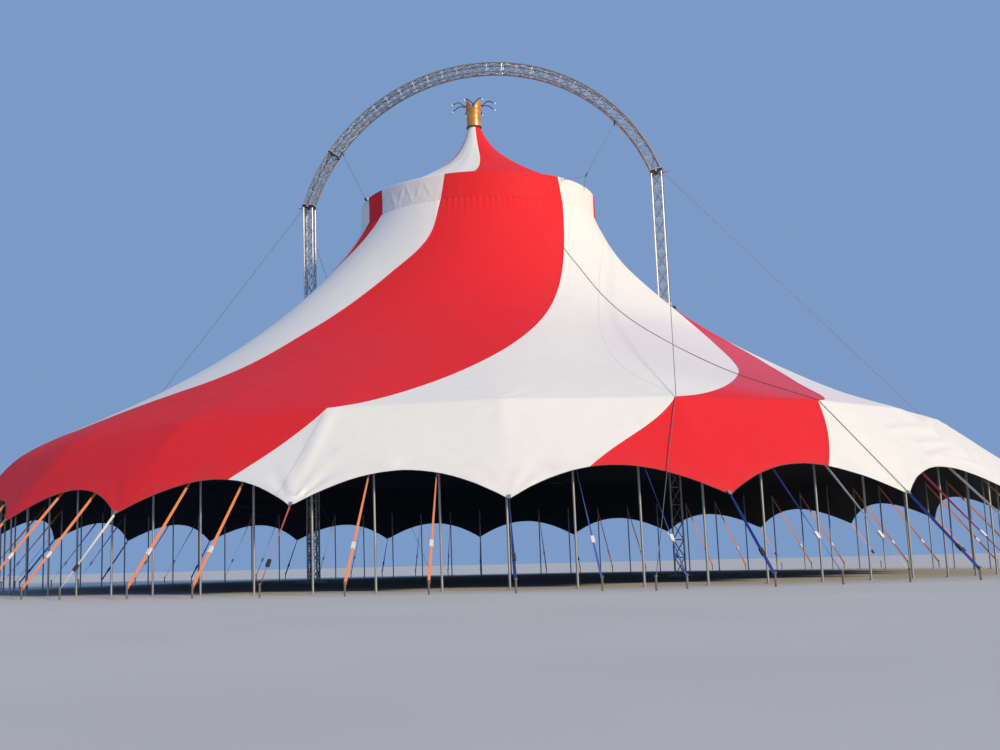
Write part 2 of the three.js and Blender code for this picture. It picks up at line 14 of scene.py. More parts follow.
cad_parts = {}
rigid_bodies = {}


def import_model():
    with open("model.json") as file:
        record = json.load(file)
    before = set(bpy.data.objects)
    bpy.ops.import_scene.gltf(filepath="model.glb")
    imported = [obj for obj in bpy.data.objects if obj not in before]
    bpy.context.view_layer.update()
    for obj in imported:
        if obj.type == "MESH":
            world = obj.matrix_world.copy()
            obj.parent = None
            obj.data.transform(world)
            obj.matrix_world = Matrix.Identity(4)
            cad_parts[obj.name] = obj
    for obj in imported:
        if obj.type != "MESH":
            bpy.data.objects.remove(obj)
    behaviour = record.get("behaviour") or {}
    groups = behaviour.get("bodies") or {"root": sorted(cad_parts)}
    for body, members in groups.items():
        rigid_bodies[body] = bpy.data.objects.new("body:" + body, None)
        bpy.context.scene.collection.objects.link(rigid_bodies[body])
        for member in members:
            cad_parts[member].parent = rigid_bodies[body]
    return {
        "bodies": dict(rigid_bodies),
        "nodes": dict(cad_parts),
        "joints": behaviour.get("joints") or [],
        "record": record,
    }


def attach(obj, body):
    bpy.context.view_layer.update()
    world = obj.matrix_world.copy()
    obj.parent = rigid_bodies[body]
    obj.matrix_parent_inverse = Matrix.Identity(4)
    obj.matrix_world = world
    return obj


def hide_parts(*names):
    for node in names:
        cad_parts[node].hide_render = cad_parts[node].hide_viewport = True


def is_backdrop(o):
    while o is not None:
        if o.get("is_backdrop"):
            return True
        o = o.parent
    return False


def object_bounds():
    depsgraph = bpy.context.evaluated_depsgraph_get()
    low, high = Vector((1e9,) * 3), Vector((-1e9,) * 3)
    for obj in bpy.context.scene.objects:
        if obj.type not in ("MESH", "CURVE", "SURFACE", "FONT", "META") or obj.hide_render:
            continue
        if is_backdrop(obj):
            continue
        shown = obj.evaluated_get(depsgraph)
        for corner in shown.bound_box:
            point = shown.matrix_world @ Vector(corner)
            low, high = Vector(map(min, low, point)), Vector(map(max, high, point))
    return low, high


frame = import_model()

frame_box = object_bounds()
print("the frame's box:", frame_box)

# %% [markdown]
# ## The camera
# The tent was photographed from very low and close, so its edge towers over the viewer. The
# place, bearing and lens are worked out from the tips of the scalloped edge and from the
# arch. The picture had been cropped at one side, which a small lens shift repeats.

# %% Camera
CAMERA_PLACE = Vector((6.48, -37.42, 0.528))
CAMERA_BEARING = 104.415
CAMERA_PITCH = 9.118
CAMERA_ROLL = -1.325
CAMERA_LENS = 42.606
CAMERA_SHIFT = 0.1109


def turned(bearing, pitch):
    flat = math.cos(math.radians(pitch))
    turn = math.radians(bearing)
    return Vector((flat * math.cos(turn), flat * math.sin(turn), math.sin(math.radians(pitch))))


ahead = turned(CAMERA_BEARING, CAMERA_PITCH)
right = turned(CAMERA_BEARING - 90, 0)
up = right.cross(ahead)
roll = math.radians(CAMERA_ROLL)
camera_right = math.cos(roll) * right + math.sin(roll) * up
camera_up = math.cos(roll) * up - math.sin(roll) * right

camera = bpy.data.objects.new("camera", bpy.data.cameras.new("camera"))
bpy.context.scene.collection.objects.link(camera)
camera_turn = Matrix((camera_right, camera_up, -ahead)).transposed().to_4x4()
camera.matrix_world = Matrix.Translation(CAMERA_PLACE) @ camera_turn
camera.data.lens = CAMERA_LENS
camera.data.shift_x = CAMERA_SHIFT
camera.data.clip_end = 1000
bpy.context.scene.camera = camera
print("camera at", tuple(CAMERA_PLACE))

# %% [markdown]
# ## Shader maths
# A material is easier to read as a formula than as a row of boxes. `Value` wraps one socket
# and turns + - * / into Math nodes. `Finish` owns one material: `node` makes any other node,
# and `mix` blends two colours. Plain numbers stay numbers until they meet a `Value`.

# %% Values and finishes
class Value:
    def __init__(self, finish, socket):
        self.finish = finish
        self.socket = socket

    def math(self, operation, *others, clamp=False):
        settings = {"operation": operation, "use_clamp": clamp}
        return self.finish.node("Math", settings, dict(enumerate((self,) + others)))

    def __add__(self, other):
        return self.math("ADD", other)

    def __sub__(self, other):
        return self.math("SUBTRACT", other)

    def __mul__(self, other):
        return self.math("MULTIPLY", other)

    def __truediv__(self, other):
        return self.math("DIVIDE", other)

    def __rsub__(self, other):
        return self * -1 + other

    __radd__ = __add__
    __rmul__ = __mul__

    def between(self, low, high):
        """0 at low and before it, 1 at high and after it, whichever of the two is larger."""
        return ((self - low) / (high - low)).math("ADD", 0, clamp=True)


class Finish:
    def __init__(self, name, **constants):
        self.material = bpy.data.materials.new(name)
        self.material.use_nodes = True
        self.tree = self.material.node_tree
        self.surface = self.tree.nodes["Principled BSDF"]
        for socket, value in constants.items():
            self.surface.inputs[socket.replace("_", " ")].default_value = value

    def node(self, kind, settings=None, inputs=None, output=0):
        node = self.tree.nodes.new("ShaderNode" + kind)
        for key, value in (settings or {}).items():
            setattr(node, key, value)
        for key, value in (inputs or {}).items():
            self.join(value, node.inputs[key])
        return Value(self, node.outputs[output])

    def join(self, value, socket):
        if isinstance(value, Value):
            self.tree.links.new(value.socket, socket)
        else:
            socket.default_value = value

    def mix(self, share, low, high):
        settings = {"data_type": "RGBA"}
        return self.node("Mix", settings, {0: share, 6: low, 7: high}, output=2)

    def place(self, stretch=(1, 1, 1)):
        """Object coordinates in metres, stretched if wanted."""
        place = self.node("TexCoord", output="Object")
        return self.node("Mapping", {}, {"Vector": place, "Scale": stretch})

    def grain(self, scale, detail=3, stretch=(1, 1, 1), rough=0.5):
        inputs = {"Vector": self.place(stretch), "Scale": scale, "Detail": detail, "Roughness": rough}
        return self.node("TexNoise", {}, inputs)

    def mark(self, name):
        """A number that the mesh carries at each point."""
        return self.node("Attribute", {"attribute_name": name}, output="Fac")

    def bump(self, height, distance, strength=1.0):
        return self.node("Bump", {}, {"Height": height, "Distance": distance, "Strength": strength})

    def dress(self, **sockets):
        for socket, value in sockets.items():
            self.join(value, self.surface.inputs[socket.replace("_", " ")])
        return self.material


print("shader helpers ready")

# %% [markdown]
# ## Coated cloth
# Big-top canvas is polyester cloth with a smooth plastic coat, dyed right through, dull satin
# rather than glossy. Sun, rain and dust leave broad pale and grey clouds and streaks that run
# down the fall of the roof, and a little dirt gathers at the lower edge. One field of the roof
# above the knee carries a painted reflection of the sky: a soft round patch of a greyer, more
# mauve tint, where the roof is seen at a grazing angle. A thin darker line along a crease below
# the knee is painted shade. A painted image could show all that, but noise in metres has the
# right scale on every panel and needs no unwrapping. What depends on the place on the tent is a
# number that the mesh carries: `down` is 0 at the ring, 1 at the knee and 2 at the lower edge,
# and the other is the distance in metres from the welded joint of a white panel, and below the
# knee of one of them from a crease, added to a fixed number.

# %% Cloth finishes
WELD_MARK = 10
WELD_HALF = 0.022
DIRTY_FROM = 1.72
# The centre and reach of the painted sky reflection on the roof.
PAINTED_SHEEN_PLACE = Vector((8.1, -7.0, 5.2))
PAINTED_SHEEN_REACH = 4.8


# The colour passed as faded is the tint of a painted reflection of the sky.
def coated_cloth(name, colour, worn, dust, faded, roughness):
    cloth = Finish(name, Specular_IOR_Level=0.06)
    clouds = cloth.grain(0.35, detail=4).between(0.3, 0.75)
    patches = cloth.grain(2.2, detail=5).between(0.35, 0.8)
    streaks = cloth.grain(3.0, detail=3, stretch=(1, 1, 0.12)).between(0.5, 0.85)
    edge = cloth.mark("down").between(DIRTY_FROM, 2.0)
    # A thin darker line along the panel's line: a dark welded joint above the knee, and painted shade along
    # the crease below it.
    beside = (cloth.mark("joint_and_crease") - WELD_MARK).math("ABSOLUTE")
    joint_and_crease = 1 - beside.between(WELD_HALF * 0.7, WELD_HALF)
    tint = cloth.mix(clouds * 0.55 + patches * 0.25, (*colour, 1), (*worn, 1))
    grime_and_crease_shade = (streaks * 0.10 + edge * patches * 0.22 + joint_and_crease * 0.30).math("MINIMUM", 1.0)
    tint = cloth.mix(grime_and_crease_shade, tint, (*dust, 1))
    # A painted reflection of the sky: a soft round patch above the knee is mixed towards the last colour
    # given.
    ends = {0: cloth.place(), 1: PAINTED_SHEEN_PLACE}
    away = cloth.node("VectorMath", {"operation": "DISTANCE"}, ends, output="Value")
    above_knee = 1 - cloth.mark("down").between(0.99, 1.0)
    painted_sheen = away.between(PAINTED_SHEEN_REACH, PAINTED_SHEEN_REACH * 0.7) * above_knee
    tint = cloth.mix(painted_sheen * 0.85, tint, (*faded, 1))
    weave = cloth.grain(180, detail=2)
    puckers = cloth.grain(7, detail=4)
    height = weave * 0.15 + puckers + joint_and_crease * 0.5
    return cloth.dress(
        Base_Color=tint,
        Roughness=roughness + patches * 0.10 - clouds * 0.04,
        Normal=cloth.bump(height, 0.004, 0.6),
    )


# For each cloth its own colour, the worn one, the dust on it and the tint of its painted sky reflection.
CLOTH_ROUGHNESS = 0.55
red_colours = [(0.79, 0.027, 0.036), (0.73, 0.030, 0.041), (0.42, 0.11, 0.09), (0.61, 0.088, 0.145)]
white_colours = [(0.83, 0.84, 0.82), (0.78, 0.79, 0.78), (0.50, 0.48, 0.44), (0.74, 0.72, 0.77)]
red_cloth = coated_cloth("red_coated_cloth", *red_colours, CLOTH_ROUGHNESS)
white_cloth = coated_cloth("white_coated_cloth", *white_colours, CLOTH_ROUGHNESS)


# The inner face of every sheet is near-black: painted shade for the dark inside of the tent.
def lining_cloth():
    lining = Finish("painted_shade_lining", Specular_IOR_Level=0.2, Sheen_Weight=0.05)
    threads = lining.grain(140, detail=2)
    patches = lining.grain(1.5, detail=4).between(0.3, 0.8)
    return lining.dress(
        Base_Color=lining.mix(patches, (0.012, 0.012, 0.015, 1), (0.022, 0.021, 0.024, 1)),
        Roughness=0.72 + patches * 0.12,
        Normal=lining.bump(threads, 0.002, 0.5),
    )


painted_shade_lining = lining_cloth()
CLOTHS = {"red": red_cloth, "white": white_cloth}
print("cloth:", red_cloth.name, white_cloth.name, painted_shade_lining.name)

# %% [markdown]
# ## Metal and paint
# Galvanised steel has a faint crystal pattern and dull grey patches. The truss is plain
# aluminium tube, one metal all over. Its legs are bright, and its curved part and thin bars get a
# darker, duller copy of the same metal, which is painted shade. One function makes every bare
# metal from two greys, and the metals differ in the size of the crystals, in gloss and in rust.
# A second one makes the painted parts, with a thin clear coat that is worn in patches, and small chips.

# %% Metal finishes
def bare_metal(name, bright, dull, metallic, roughness, crystals, rust=0.0):
    metal = Finish(name)
    cells = metal.node("TexVoronoi", {}, {"Vector": metal.place(), "Scale": crystals}, output="Distance")
    stains = metal.grain(4.0, detail=5).between(0.42, 0.75)
    tint = metal.mix(cells.between(0.1, 0.7) * 0.6 + stains * 0.4, (*bright, 1), (*dull, 1))
    spots = metal.grain(9.0, detail=6, rough=0.65).between(0.72 - rust * 0.4, 0.86)
    tint = metal.mix(spots * min(1.0, rust * 2), tint, (0.17, 0.065, 0.028, 1))
    return metal.dress(
        Base_Color=tint,
        Metallic=metallic - spots * rust,
        Roughness=roughness + stains * 0.16 + spots * 0.2 * rust,
        Normal=metal.bump(metal.grain(120, detail=2), 0.0008, 0.5),
    )


zinc_greys = (0.46, 0.47, 0.48), (0.32, 0.33, 0.34)
mill_greys = (0.74, 0.75, 0.76), (0.54, 0.55, 0.56)
shaded_greys = (0.36, 0.37, 0.375), (0.23, 0.235, 0.24)
dark_greys = (0.07, 0.072, 0.075), (0.035, 0.035, 0.038)
stake_greys = (0.30, 0.29, 0.28), (0.16, 0.15, 0.145)
galvanised = bare_metal("galvanised_steel", *zinc_greys, 0.75, 0.42, 55, rust=0.1)
truss_metal = bare_metal("mill_aluminium", *mill_greys, 0.55, 0.36, 18)
# A darker, duller copy of the truss metal for the curved part and the thin bars: painted shade.
shaded_truss_metal = bare_metal("shaded_aluminium", *shaded_greys, 0.45, 0.45, 18)
dark_steel = bare_metal("dark_steel", *dark_greys, 0.5, 0.5, 30, rust=0.15)
stake_steel = bare_metal("weathered_stake_steel", *stake_greys, 0.7, 0.55, 40, rust=0.8)


def paint(name, colour, shade, metallic, roughness, speckle):
    coat = Finish(name, Coat_Roughness=0.2)
    patches = coat.grain(speckle, detail=4).between(0.35, 0.7)
    chips = coat.grain(speckle * 4, detail=5, rough=0.7).between(0.68, 0.74)
    return coat.dress(
        Base_Color=coat.mix(chips * 0.5, coat.mix(patches, (*colour, 1), (*shade, 1)), (*shade, 1)),
        Metallic=metallic,
        Coat_Weight=0.3 - patches * 0.2,
        Roughness=roughness + patches * 0.15,
        Normal=coat.bump(coat.grain(speckle * 6, detail=3), 0.0015, 0.5),
    )


gold_paint = paint("gold_paint", (0.78, 0.36, 0.10), (0.52, 0.22, 0.035), 0.35, 0.34, 7)
black_paint = paint("black_wire_paint", (0.018, 0.018, 0.022), (0.035, 0.033, 0.03), 0.2, 0.4, 20)
bead_paint = paint("white_bead_paint", (0.86, 0.88, 0.90), (0.70, 0.72, 0.74), 0.0, 0.25, 25)
print("metal and paint ready")

# %% [markdown]
# ## Rope and webbing
# Wire rope and laid rope show their strands as slanted ribs. Webbing straps are woven, with
# fine ribs across them, and they fade in clouds. Real strands could be modelled, but each is a
# millimetre wide on a tent of 35 m, so a wave pattern in colour and bump shows them as well.

# %% Rope and webbing finishes
def strands(name, light, dark, metallic, roughness, pitch):
    rope = Finish(name)
    ribs = rope.node("TexWave", {"wave_type": "BANDS", "bands_direction": "DIAGONAL"}, {
        "Vector": rope.place(), "Scale": pitch, "Distortion": 0.6, "Detail": 2.0,
    }, output="Fac")
    worn = rope.grain(12, detail=4).between(0.4, 0.75)
    return rope.dress(
        Base_Color=rope.mix(ribs * 0.7 + worn * 0.3, (*dark, 1), (*light, 1)),
        Metallic=metallic,
        Roughness=roughness + worn * 0.15,
        Normal=rope.bump(ribs, 0.002, 0.8),
    )


wire_rope = strands("wire_rope", (0.28, 0.29, 0.31), (0.15, 0.155, 0.16), 0.5, 0.45, 60)
dark_rope = strands("dark_laid_rope", (0.20, 0.165, 0.15), (0.09, 0.075, 0.07), 0.0, 0.8, 40)


def webbing(name, colour):
    strap = Finish(name, Sheen_Weight=0.15, Specular_IOR_Level=0.25)
    ribs = strap.node("TexWave", {"wave_type": "BANDS", "bands_direction": "Z"}, {
        "Vector": strap.place(), "Scale": 80.0, "Distortion": 0.4, "Detail": 1.0,
    }, output="Fac")
    faded = strap.grain(3.5, detail=4).between(0.35, 0.75)
    pale = tuple(0.75 * c + 0.12 for c in colour)
    deep = tuple(0.7 * c for c in colour)
    return strap.dress(
        Base_Color=strap.mix(ribs * 0.35, strap.mix(faded * 0.5, (*colour, 1), (*pale, 1)), (*deep, 1)),
        Roughness=0.72 + faded * 0.12,
        Normal=strap.bump(ribs, 0.0015, 0.7),
    )


orange_strap = webbing("orange_webbing", (0.80, 0.26, 0.10))
blue_strap = webbing("blue_webbing", (0.02, 0.075, 0.42))
red_strap = webbing("red_webbing", (0.68, 0.08, 0.10))
white_strap = webbing("white_webbing", (0.88, 0.87, 0.84))
# A near-black band for the edge of the cloth: painted shade of the dark inside under the edge.
painted_shade_hem = webbing("charcoal_hem_shade", (0.03, 0.03, 0.034))
print("straps and ropes ready")

# %% [markdown]
# ## Lines, rings and tubes
# Most of the tent is either a sheet or something long and thin. Blender's own curves with a
# bevel would do for one rope, but a whole set of poles, straps and stakes has to be one piece.
# So a line is first a plain list of points: `spline` draws it smoothly through a few corners,
# `follow` reads a value off a smooth line, and `sections` gives each point two crossways
# directions, on which a tube or a strap can be built.

# %% Points on lines
def at(angle, radius, height):
    turn = math.radians(angle)
    return Vector((radius * math.cos(turn), radius * math.sin(turn), height))


def spline(corners, steps):
    """A smooth line through the corners."""
    line = []
    ends = [2 * corners[0] - corners[1], *corners, 2 * corners[-1] - corners[-2]]
    for a, b, c, d in zip(ends, ends[1:], ends[2:], ends[3:]):
        for k in range(steps):
            t = k / steps
            near = 2 * b + (c - a) * t
            far = (2 * a - 5 * b + 4 * c - d) * t * t + (3 * b - a - 3 * c + d) * t ** 3
            line.append((near + far) / 2)
    return line + [corners[-1].copy()]


def follow(knots, x):
    """The value at x of a smooth line through knots, which are pairs of x and value."""
    slopes = [(b[1] - a[1]) / (b[0] - a[0]) for a, b in zip(knots, knots[1:])]
    slopes = [slopes[0], *((a + b) / 2 for a, b in zip(slopes, slopes[1:])), slopes[-1]]
    k = sum(knot[0] < x for knot in knots[1:-1])
    (low, before), (high, after) = knots[k], knots[k + 1]
    span = high - low
    s = (x - low) / span
    eased = before + (after - before) * s * s * (3 - 2 * s)
    return eased + span * s * (1 - s) * ((1 - s) * slopes[k] - s * slopes[k + 1])


def straight(start, end, steps=1):
    return [start.lerp(end, k / steps) for k in range(steps + 1)]


def sections(line, hint=None):
    """Two crossways directions at each point, carried along without twisting."""
    across = Vector(hint) if hint else Vector((0, 0, 1))
    if not hint and abs((line[1] - line[0]).normalized().z) > 0.9:
        across = Vector((0, 1, 0))
    for i, point in enumerate(line):
        along = (line[min(i + 1, len(line) - 1)] - line[max(i - 1, 0)]).normalized()
        across = (across - along * across.dot(along)).normalized()
        yield point, across, along.cross(across)


print("a quarter of the way along a bend:", spline([at(0, 1, 0), at(45, 1, 0), at(90, 1, 0)], 2)[1])

# %% [markdown]
# `Stock` gathers loose points and faces and turns them into one piece. `loft` skins a row of
# rings, `tube` sweeps a round section along a line, `ribbon` sweeps a flat one, and `box` and
# `ball` are lofts as well, so poles, ropes and straps all come from the same few lines of
# code. Each face remembers its finish. A piece always rides on the tent's one body.

# %% Stock
CREASE = math.radians(30)


class Stock:
    def __init__(self, finish=None):
        self.finish = finish
        self.points = []
        self.faces = []
        self.finishes = []

    def skin(self, faces, finish=None):
        """Faces between points that are there already."""
        self.faces += faces
        self.finishes += [finish or self.finish] * len(faces)

    def add(self, points, faces, finish=None):
        start = len(self.points)
        self.points += points
        self.skin([[start + i for i in face] for face in faces], finish)

    def loft(self, rings, finish=None, capped=True, looped=False):
        sides = len(rings[0])
        points = [point for ring in rings for point in ring]
        faces = []
        for row in range(len(rings) - (not looped)):
            here = row * sides
            there = ((row + 1) % len(rings)) * sides
            for k in range(sides):
                after = (k + 1) % sides
                faces.append([here + k, here + after, there + after, there + k])
        if capped and not looped:
            faces.append(list(range(sides))[::-1])
            faces.append([(len(rings) - 1) * sides + k for k in range(sides)])
        self.add(points, faces, finish)

    def tube(self, line, radius, sides=8, finish=None, hint=None):
        radii = radius if isinstance(radius, list) else [radius] * len(line)
        turns = [2 * math.pi * k / sides for k in range(sides)]
        rings = []
        for (point, across, upright), reach in zip(sections(line, hint), radii):
            rings.append([point + reach * (math.cos(a) * across + math.sin(a) * upright) for a in turns])
        self.loft(rings, finish)

    def ribbon(self, line, width, thick, finish=None, hint=None, twist=0.0):
        rings = []
        for i, (point, across, upright) in enumerate(sections(line, hint)):
            turn = math.radians(twist * i / (len(line) - 1))
            wide = (math.cos(turn) * across + math.sin(turn) * upright) * width / 2
            high = (math.cos(turn) * upright - math.sin(turn) * across) * thick / 2
            low, top = point - high, point + high
            rings.append([low - wide, low + wide, top + wide, top - wide])
        self.loft(rings, finish)

    def box(self, centre, size, finish=None, axes=None):
        x, y, z = axes or (Vector((1, 0, 0)), Vector((0, 1, 0)), Vector((0, 0, 1)))
        low = centre - z * size[2] / 2
        corners = [(-1, -1), (1, -1), (1, 1), (-1, 1)]
        ring = [low + x * a * size[0] / 2 + y * b * size[1] / 2 for a, b in corners]
        self.loft([ring, [point + z * size[2] for point in ring]], finish)

    def ball(self, centre, radius, finish=None, rows=8, sides=12):
        rings = []
        for i in range(1, rows):
            lift = math.pi * i / rows
            wide, high = radius * math.sin(lift), -radius * math.cos(lift)
            rings.append([centre + at(360 * k / sides, wide, high) for k in range(sides)])
        self.loft(rings, finish)

    def piece(self, name, slot, node):
        """One object, which stands for a node of the measured model."""
        mesh = bpy.data.meshes.new(name)
        mesh.from_pydata(self.points, [], self.faces)
        kinds = list(dict.fromkeys(self.finishes))
        for finish in kinds:
            mesh.materials.append(finish)
        places = {finish: i for i, finish in enumerate(kinds)}
        mesh.polygons.foreach_set("material_index", [places[finish] for finish in self.finishes])
        mesh.shade_smooth()
        mesh.set_sharp_from_angle(angle=CREASE)
        thing = bpy.data.objects.new(name, mesh)
        bpy.context.scene.collection.objects.link(thing)
        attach(thing, "root")
        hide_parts(node)
        print(name, len(mesh.polygons), "faces")
        return thing


print("stock ready")

# %% [markdown]
# ## The shape of the roof
# The canvas hangs from a ring and falls in a slack curve to a knee, and then drops flat to a
# scalloped edge whose 24 tips are pulled down and out. Above the knee the colours swirl. It
# isn't quite round: each half is fuller on one side and drawn in on the other, which `SWELLS`
# adds. It could be hung by a cloth simulation, but stretched canvas keeps its drawn shape, and
# the few formulas of the measured model give every point of it. So the fine cloth below lies
# on the coarse solids.

# %% Roof formulas
BAYS = 24
BAY = 360 / BAYS
FIRST_TIP = -3.75
TIP_RADIUS, TIP_HEIGHT = 16.0, 1.68
SCALLOP_RADIUS, SCALLOP_HEIGHT = 15.375, 2.32
KNEE_RADIUS, KNEE_HEIGHT = 13.96, 3.83
RING_RADIUS, RING_BOTTOM, RING_TOP = 3.84, 11.33, 12.11
SWIRL = 56.25
SWELLS = [   # middle, width, how far out and up at the knee, and rises on the slope above it
    (-143, 26, 0.56, -0.20, [(0.66, 0.46, 0.28)]),
    (-22, 20, -0.62, 0.245, [(0.32, 0.43, 0.17), (-0.27, 0.88, 0.15)]),
]
RING_HOLD = 0.02


def share(angle):
    return ((angle - FIRST_TIP) / BAY) % 1


def scallop(angle):
    return 1 - (2 * share(angle) - 1) ** 2


def flatten(angle):
    half = math.radians(BAY / 2)
    return math.cos(half) / math.cos(math.radians(BAY * (share(angle) - 0.5)))


def fall(t):
    return (1 - t) * (0.6 + 0.4 * math.exp(-t / 0.165))


def swirl(t):
    return SWIRL * (1 - t) ** 0.6 * (0.48 + 0.52 * math.exp(-t / 0.27))


def bell(x, middle, wide):
    return math.exp(-(((x - middle) / wide) ** 2))


def half_round(angle, middle):
    """How far an angle lies from the middle, or from the same place on the other half."""
    return (angle - middle + 90) % 180 - 90


def canvas(angle, t):
    """t is 0 at the ring, 1 at the knee and 2 at the scalloped edge."""
    down = min(t, 1)
    reach, knee_height, rise = KNEE_RADIUS, KNEE_HEIGHT, 0
    for middle, wide, further, lift, rises in SWELLS:
        near = bell(half_round(angle, middle), 0, wide)
        reach += near * further
        knee_height += near * lift
        rise += near * sum(high * bell(math.sqrt(down), place, broad) for high, place, broad in rises)
    bend = 1 + (flatten(angle) - 1) * down ** 3
    height = knee_height + (RING_BOTTOM - knee_height) * fall(down)
    height += rise * (1 - math.exp(-down / RING_HOLD))
    roof = at(angle, (RING_RADIUS + (reach - RING_RADIUS) * down) * bend, height)
    if t <= 1:
        return roof
    arc = scallop(angle)
    radius = TIP_RADIUS + (SCALLOP_RADIUS - TIP_RADIUS) * arc
    height = TIP_HEIGHT + (SCALLOP_HEIGHT - TIP_HEIGHT) * arc
    return roof.lerp(at(angle, radius, height), t - 1)


def outward(angle, t):
    side = canvas(angle + 0.4, t) - canvas(angle - 0.4, t)
    down = canvas(angle, min(t + 0.01, 2)) - canvas(angle, max(t - 0.01, 0))
    return down.cross(side).normalized()


def over_canvas(angle, t, lift):
    return canvas(angle, t) + outward(angle, t) * lift


print("edge tips at", round(TIP_RADIUS, 2), "m; ring at", RING_RADIUS, "m")

# %% [markdown]
# ## Folds in the cloth
# Stretched canvas is smooth but not perfect. It puckers just under the ring, where it is laced
# on, it shows short pulls around each corner of the knee and each tip, and the wide fields
# breathe a little. `FOLDS` names the single folds that show, each from one place to another.
# On the left the knee is soft rather than a sharp bend. Sculpting would do for one panel; one
# function that gives a lift in metres anywhere makes neighbouring panels agree.

# %% Wrinkles
PUCKERS = 132
CORNER_PULLS = 7
BAND_LENGTH = 2.6
ROOF_LENGTH = 10.1
SOFT_KNEE = (-143, 40, 0.9)
CRUMPLED_TIP = (-93.75, 3)
FOLDS = [   # from (angle, t) to (angle, t), height, half width
    ((-42.0, 1.43), (-25.4, 1.07), 0.035, 0.12),
    ((-39.8, 1.63), (-30.2, 1.29), 0.040, 0.11),
    ((-41.0, 1.86), (-32.0, 1.43), 0.045, 0.11),
    ((-39.0, 1.83), (-30.6, 1.58), 0.035, 0.09),
    ((-91.6, 1.56), (-86.9, 1.91), 0.030, 0.08),
    ((-93.3, 1.10), (-94.2, 1.97), 0.035, 0.11),
]


def pulls(angle, t, corner, reach, count):
    """Short folds that fan out from one corner of each bay."""
    away = (share(angle) + 0.5) % 1 - 0.5
    radius = canvas(angle, t).xy.length
    sideways = away * math.radians(BAY) * radius
    downward = (t - corner) * (BAND_LENGTH if t >= 1 else ROOF_LENGTH)
    distance = math.hypot(sideways, downward)
    fan = math.atan2(sideways, downward)
    fade = math.exp(-(distance / reach) ** 2) * min(1.0, distance / 0.25)
    return fade * math.cos(count * fan)


def fold(angle, t, start, end, height, wide):
    """A low ridge along the line from start to end, where a point is (angle, t)."""
    def spread(place):
        return Vector((math.radians(half_round(place[0], start[0])) * TIP_RADIUS, place[1] * BAND_LENGTH))

    along = spread(end) - spread(start)
    here = spread((angle, t)) - spread(start)
    nearest = along * min(1.0, max(0.0, here.dot(along) / along.length_squared))
    return height * math.exp(-((here - nearest).length / wide) ** 2)


def soft_knee(angle, t):
    middle, wide, reach = SOFT_KNEE
    away = abs(t - 1) * (BAND_LENGTH if t >= 1 else ROOF_LENGTH)
    return -0.11 * reach * max(0.0, 1 - away / reach) ** 2 * bell(half_round(angle, middle), 0, wide)


def wrinkle(angle, t):
    place = canvas(angle, t)
    broad = 0.012 * noise.noise(place * 0.55) + 0.005 * noise.noise(place * 1.7)
    laced = 0.010 * math.exp(-t / 0.012) * math.cos(math.radians(PUCKERS * angle))
    knee = 0.008 * pulls(angle, t, 1, 0.7, CORNER_PULLS) + soft_knee(angle, t)
    low = 0.0
    if t > 1:
        crumple = bell(half_round(angle, CRUMPLED_TIP[0]), 0, CRUMPLED_TIP[1])
        low = (0.012 + 0.016 * crumple) * pulls(angle, t, 2, 0.8, CORNER_PULLS)
        low += 0.006 * max(0.0, t - 1.75) / 0.25 * noise.noise(Vector((angle * 2.2, t * 3, 0.5)))
        low += sum(fold(angle, t, *each) for each in FOLDS)
    return broad * min(1.0, t / 0.1) * (0.4 + 0.6 * abs(1 - t)) + laced + knee + low


print("lift at the ring, the knee and the edge:", [round(wrinkle(-90, t), 4) for t in (0, 1, 2)])

# %% [markdown]
# ## Canvas panels
# Each coloured panel is one closed sheet: the coated face outside, a near-black face inside and a
# thin rim between them. The near-black inside is painted shade, standing for the dark inside of
# the tent. Its rows crowd together at the ring and at the knee, where the cloth bends most. On
# the real tent the red panels lap over the white ones. Here each red panel has a raised strip
# along its seams instead, which draws them as a real edge, and the panels only meet, so no two
# sheets cut through each other.

# %% Panel layout
STRIPES = [   # width in bays, colour, and how the seam after it strays below and above the knee
    (4, "red", 1.4, [(0, 0), (1, 0)]),
    (2, "white", -1.6, [(0, 2.5), (0.03, 9), (0.12, 13.5), (0.22, 15), (0.57, 6.5), (0.8, 2.6), (1, 0)]),
    (1, "red", 2.1, [(0, 0), (0.1, 3), (0.55, 4.3), (0.67, 0.1), (0.85, -2.6), (1, 0)]),
    (3, "white", 0, [(0, -15.8), (0.086, -4.5), (0.14, -10), (0.5, -13), (1, 0)]),
    (1, "red", 0, [(0, -17.7), (0.08, -16.5), (0.13, -20.5), (0.5, -19), (1, 0)]),
    (1, "white", 0, [
        (0, 1), (0.055, 5.8), (0.14, 3.8), (0.35, 9), (0.68, 17), (0.8, 11), (0.9, 8.5), (1, 0),
    ]),
]
FIRST_STRIPE = -10
COLUMNS_PER_BAY = 28
ROOF_ROWS = 72
BAND_ROWS = 30
CLOTH = 0.008
SEAM_GAP = 0.0004
LAP = 0.06
LAP_LIFT = 0.005
STRETCH = 1.01

ROWS = [(1 - math.cos(math.pi * i / ROOF_ROWS)) / 2 for i in range(ROOF_ROWS)]
ROWS += [1 + i / BAND_ROWS for i in range(BAND_ROWS + 1)]


def leaning(t):
    return swirl(t) if t <= 1 else -(BAY / 2) * (t - 1)


def stray(seam, t):
    """How far a seam strays from the common swirl, in degrees."""
    hem, knots = seam
    return follow(knots, t) if t < 1 else hem * (t - 1)


def layout():
    """Every panel: name, colour, first bay, width in bays and how its two seams stray."""
    first = FIRST_STRIPE
    for round_name in ("front", "back"):
        before = STRIPES[-1][2:]
        for i, (bays, colour, *after) in enumerate(STRIPES):
            yield f"canvas_{round_name}_{i + 1}_{colour}", colour, first, bays, before, after
            first += bays
            before = after


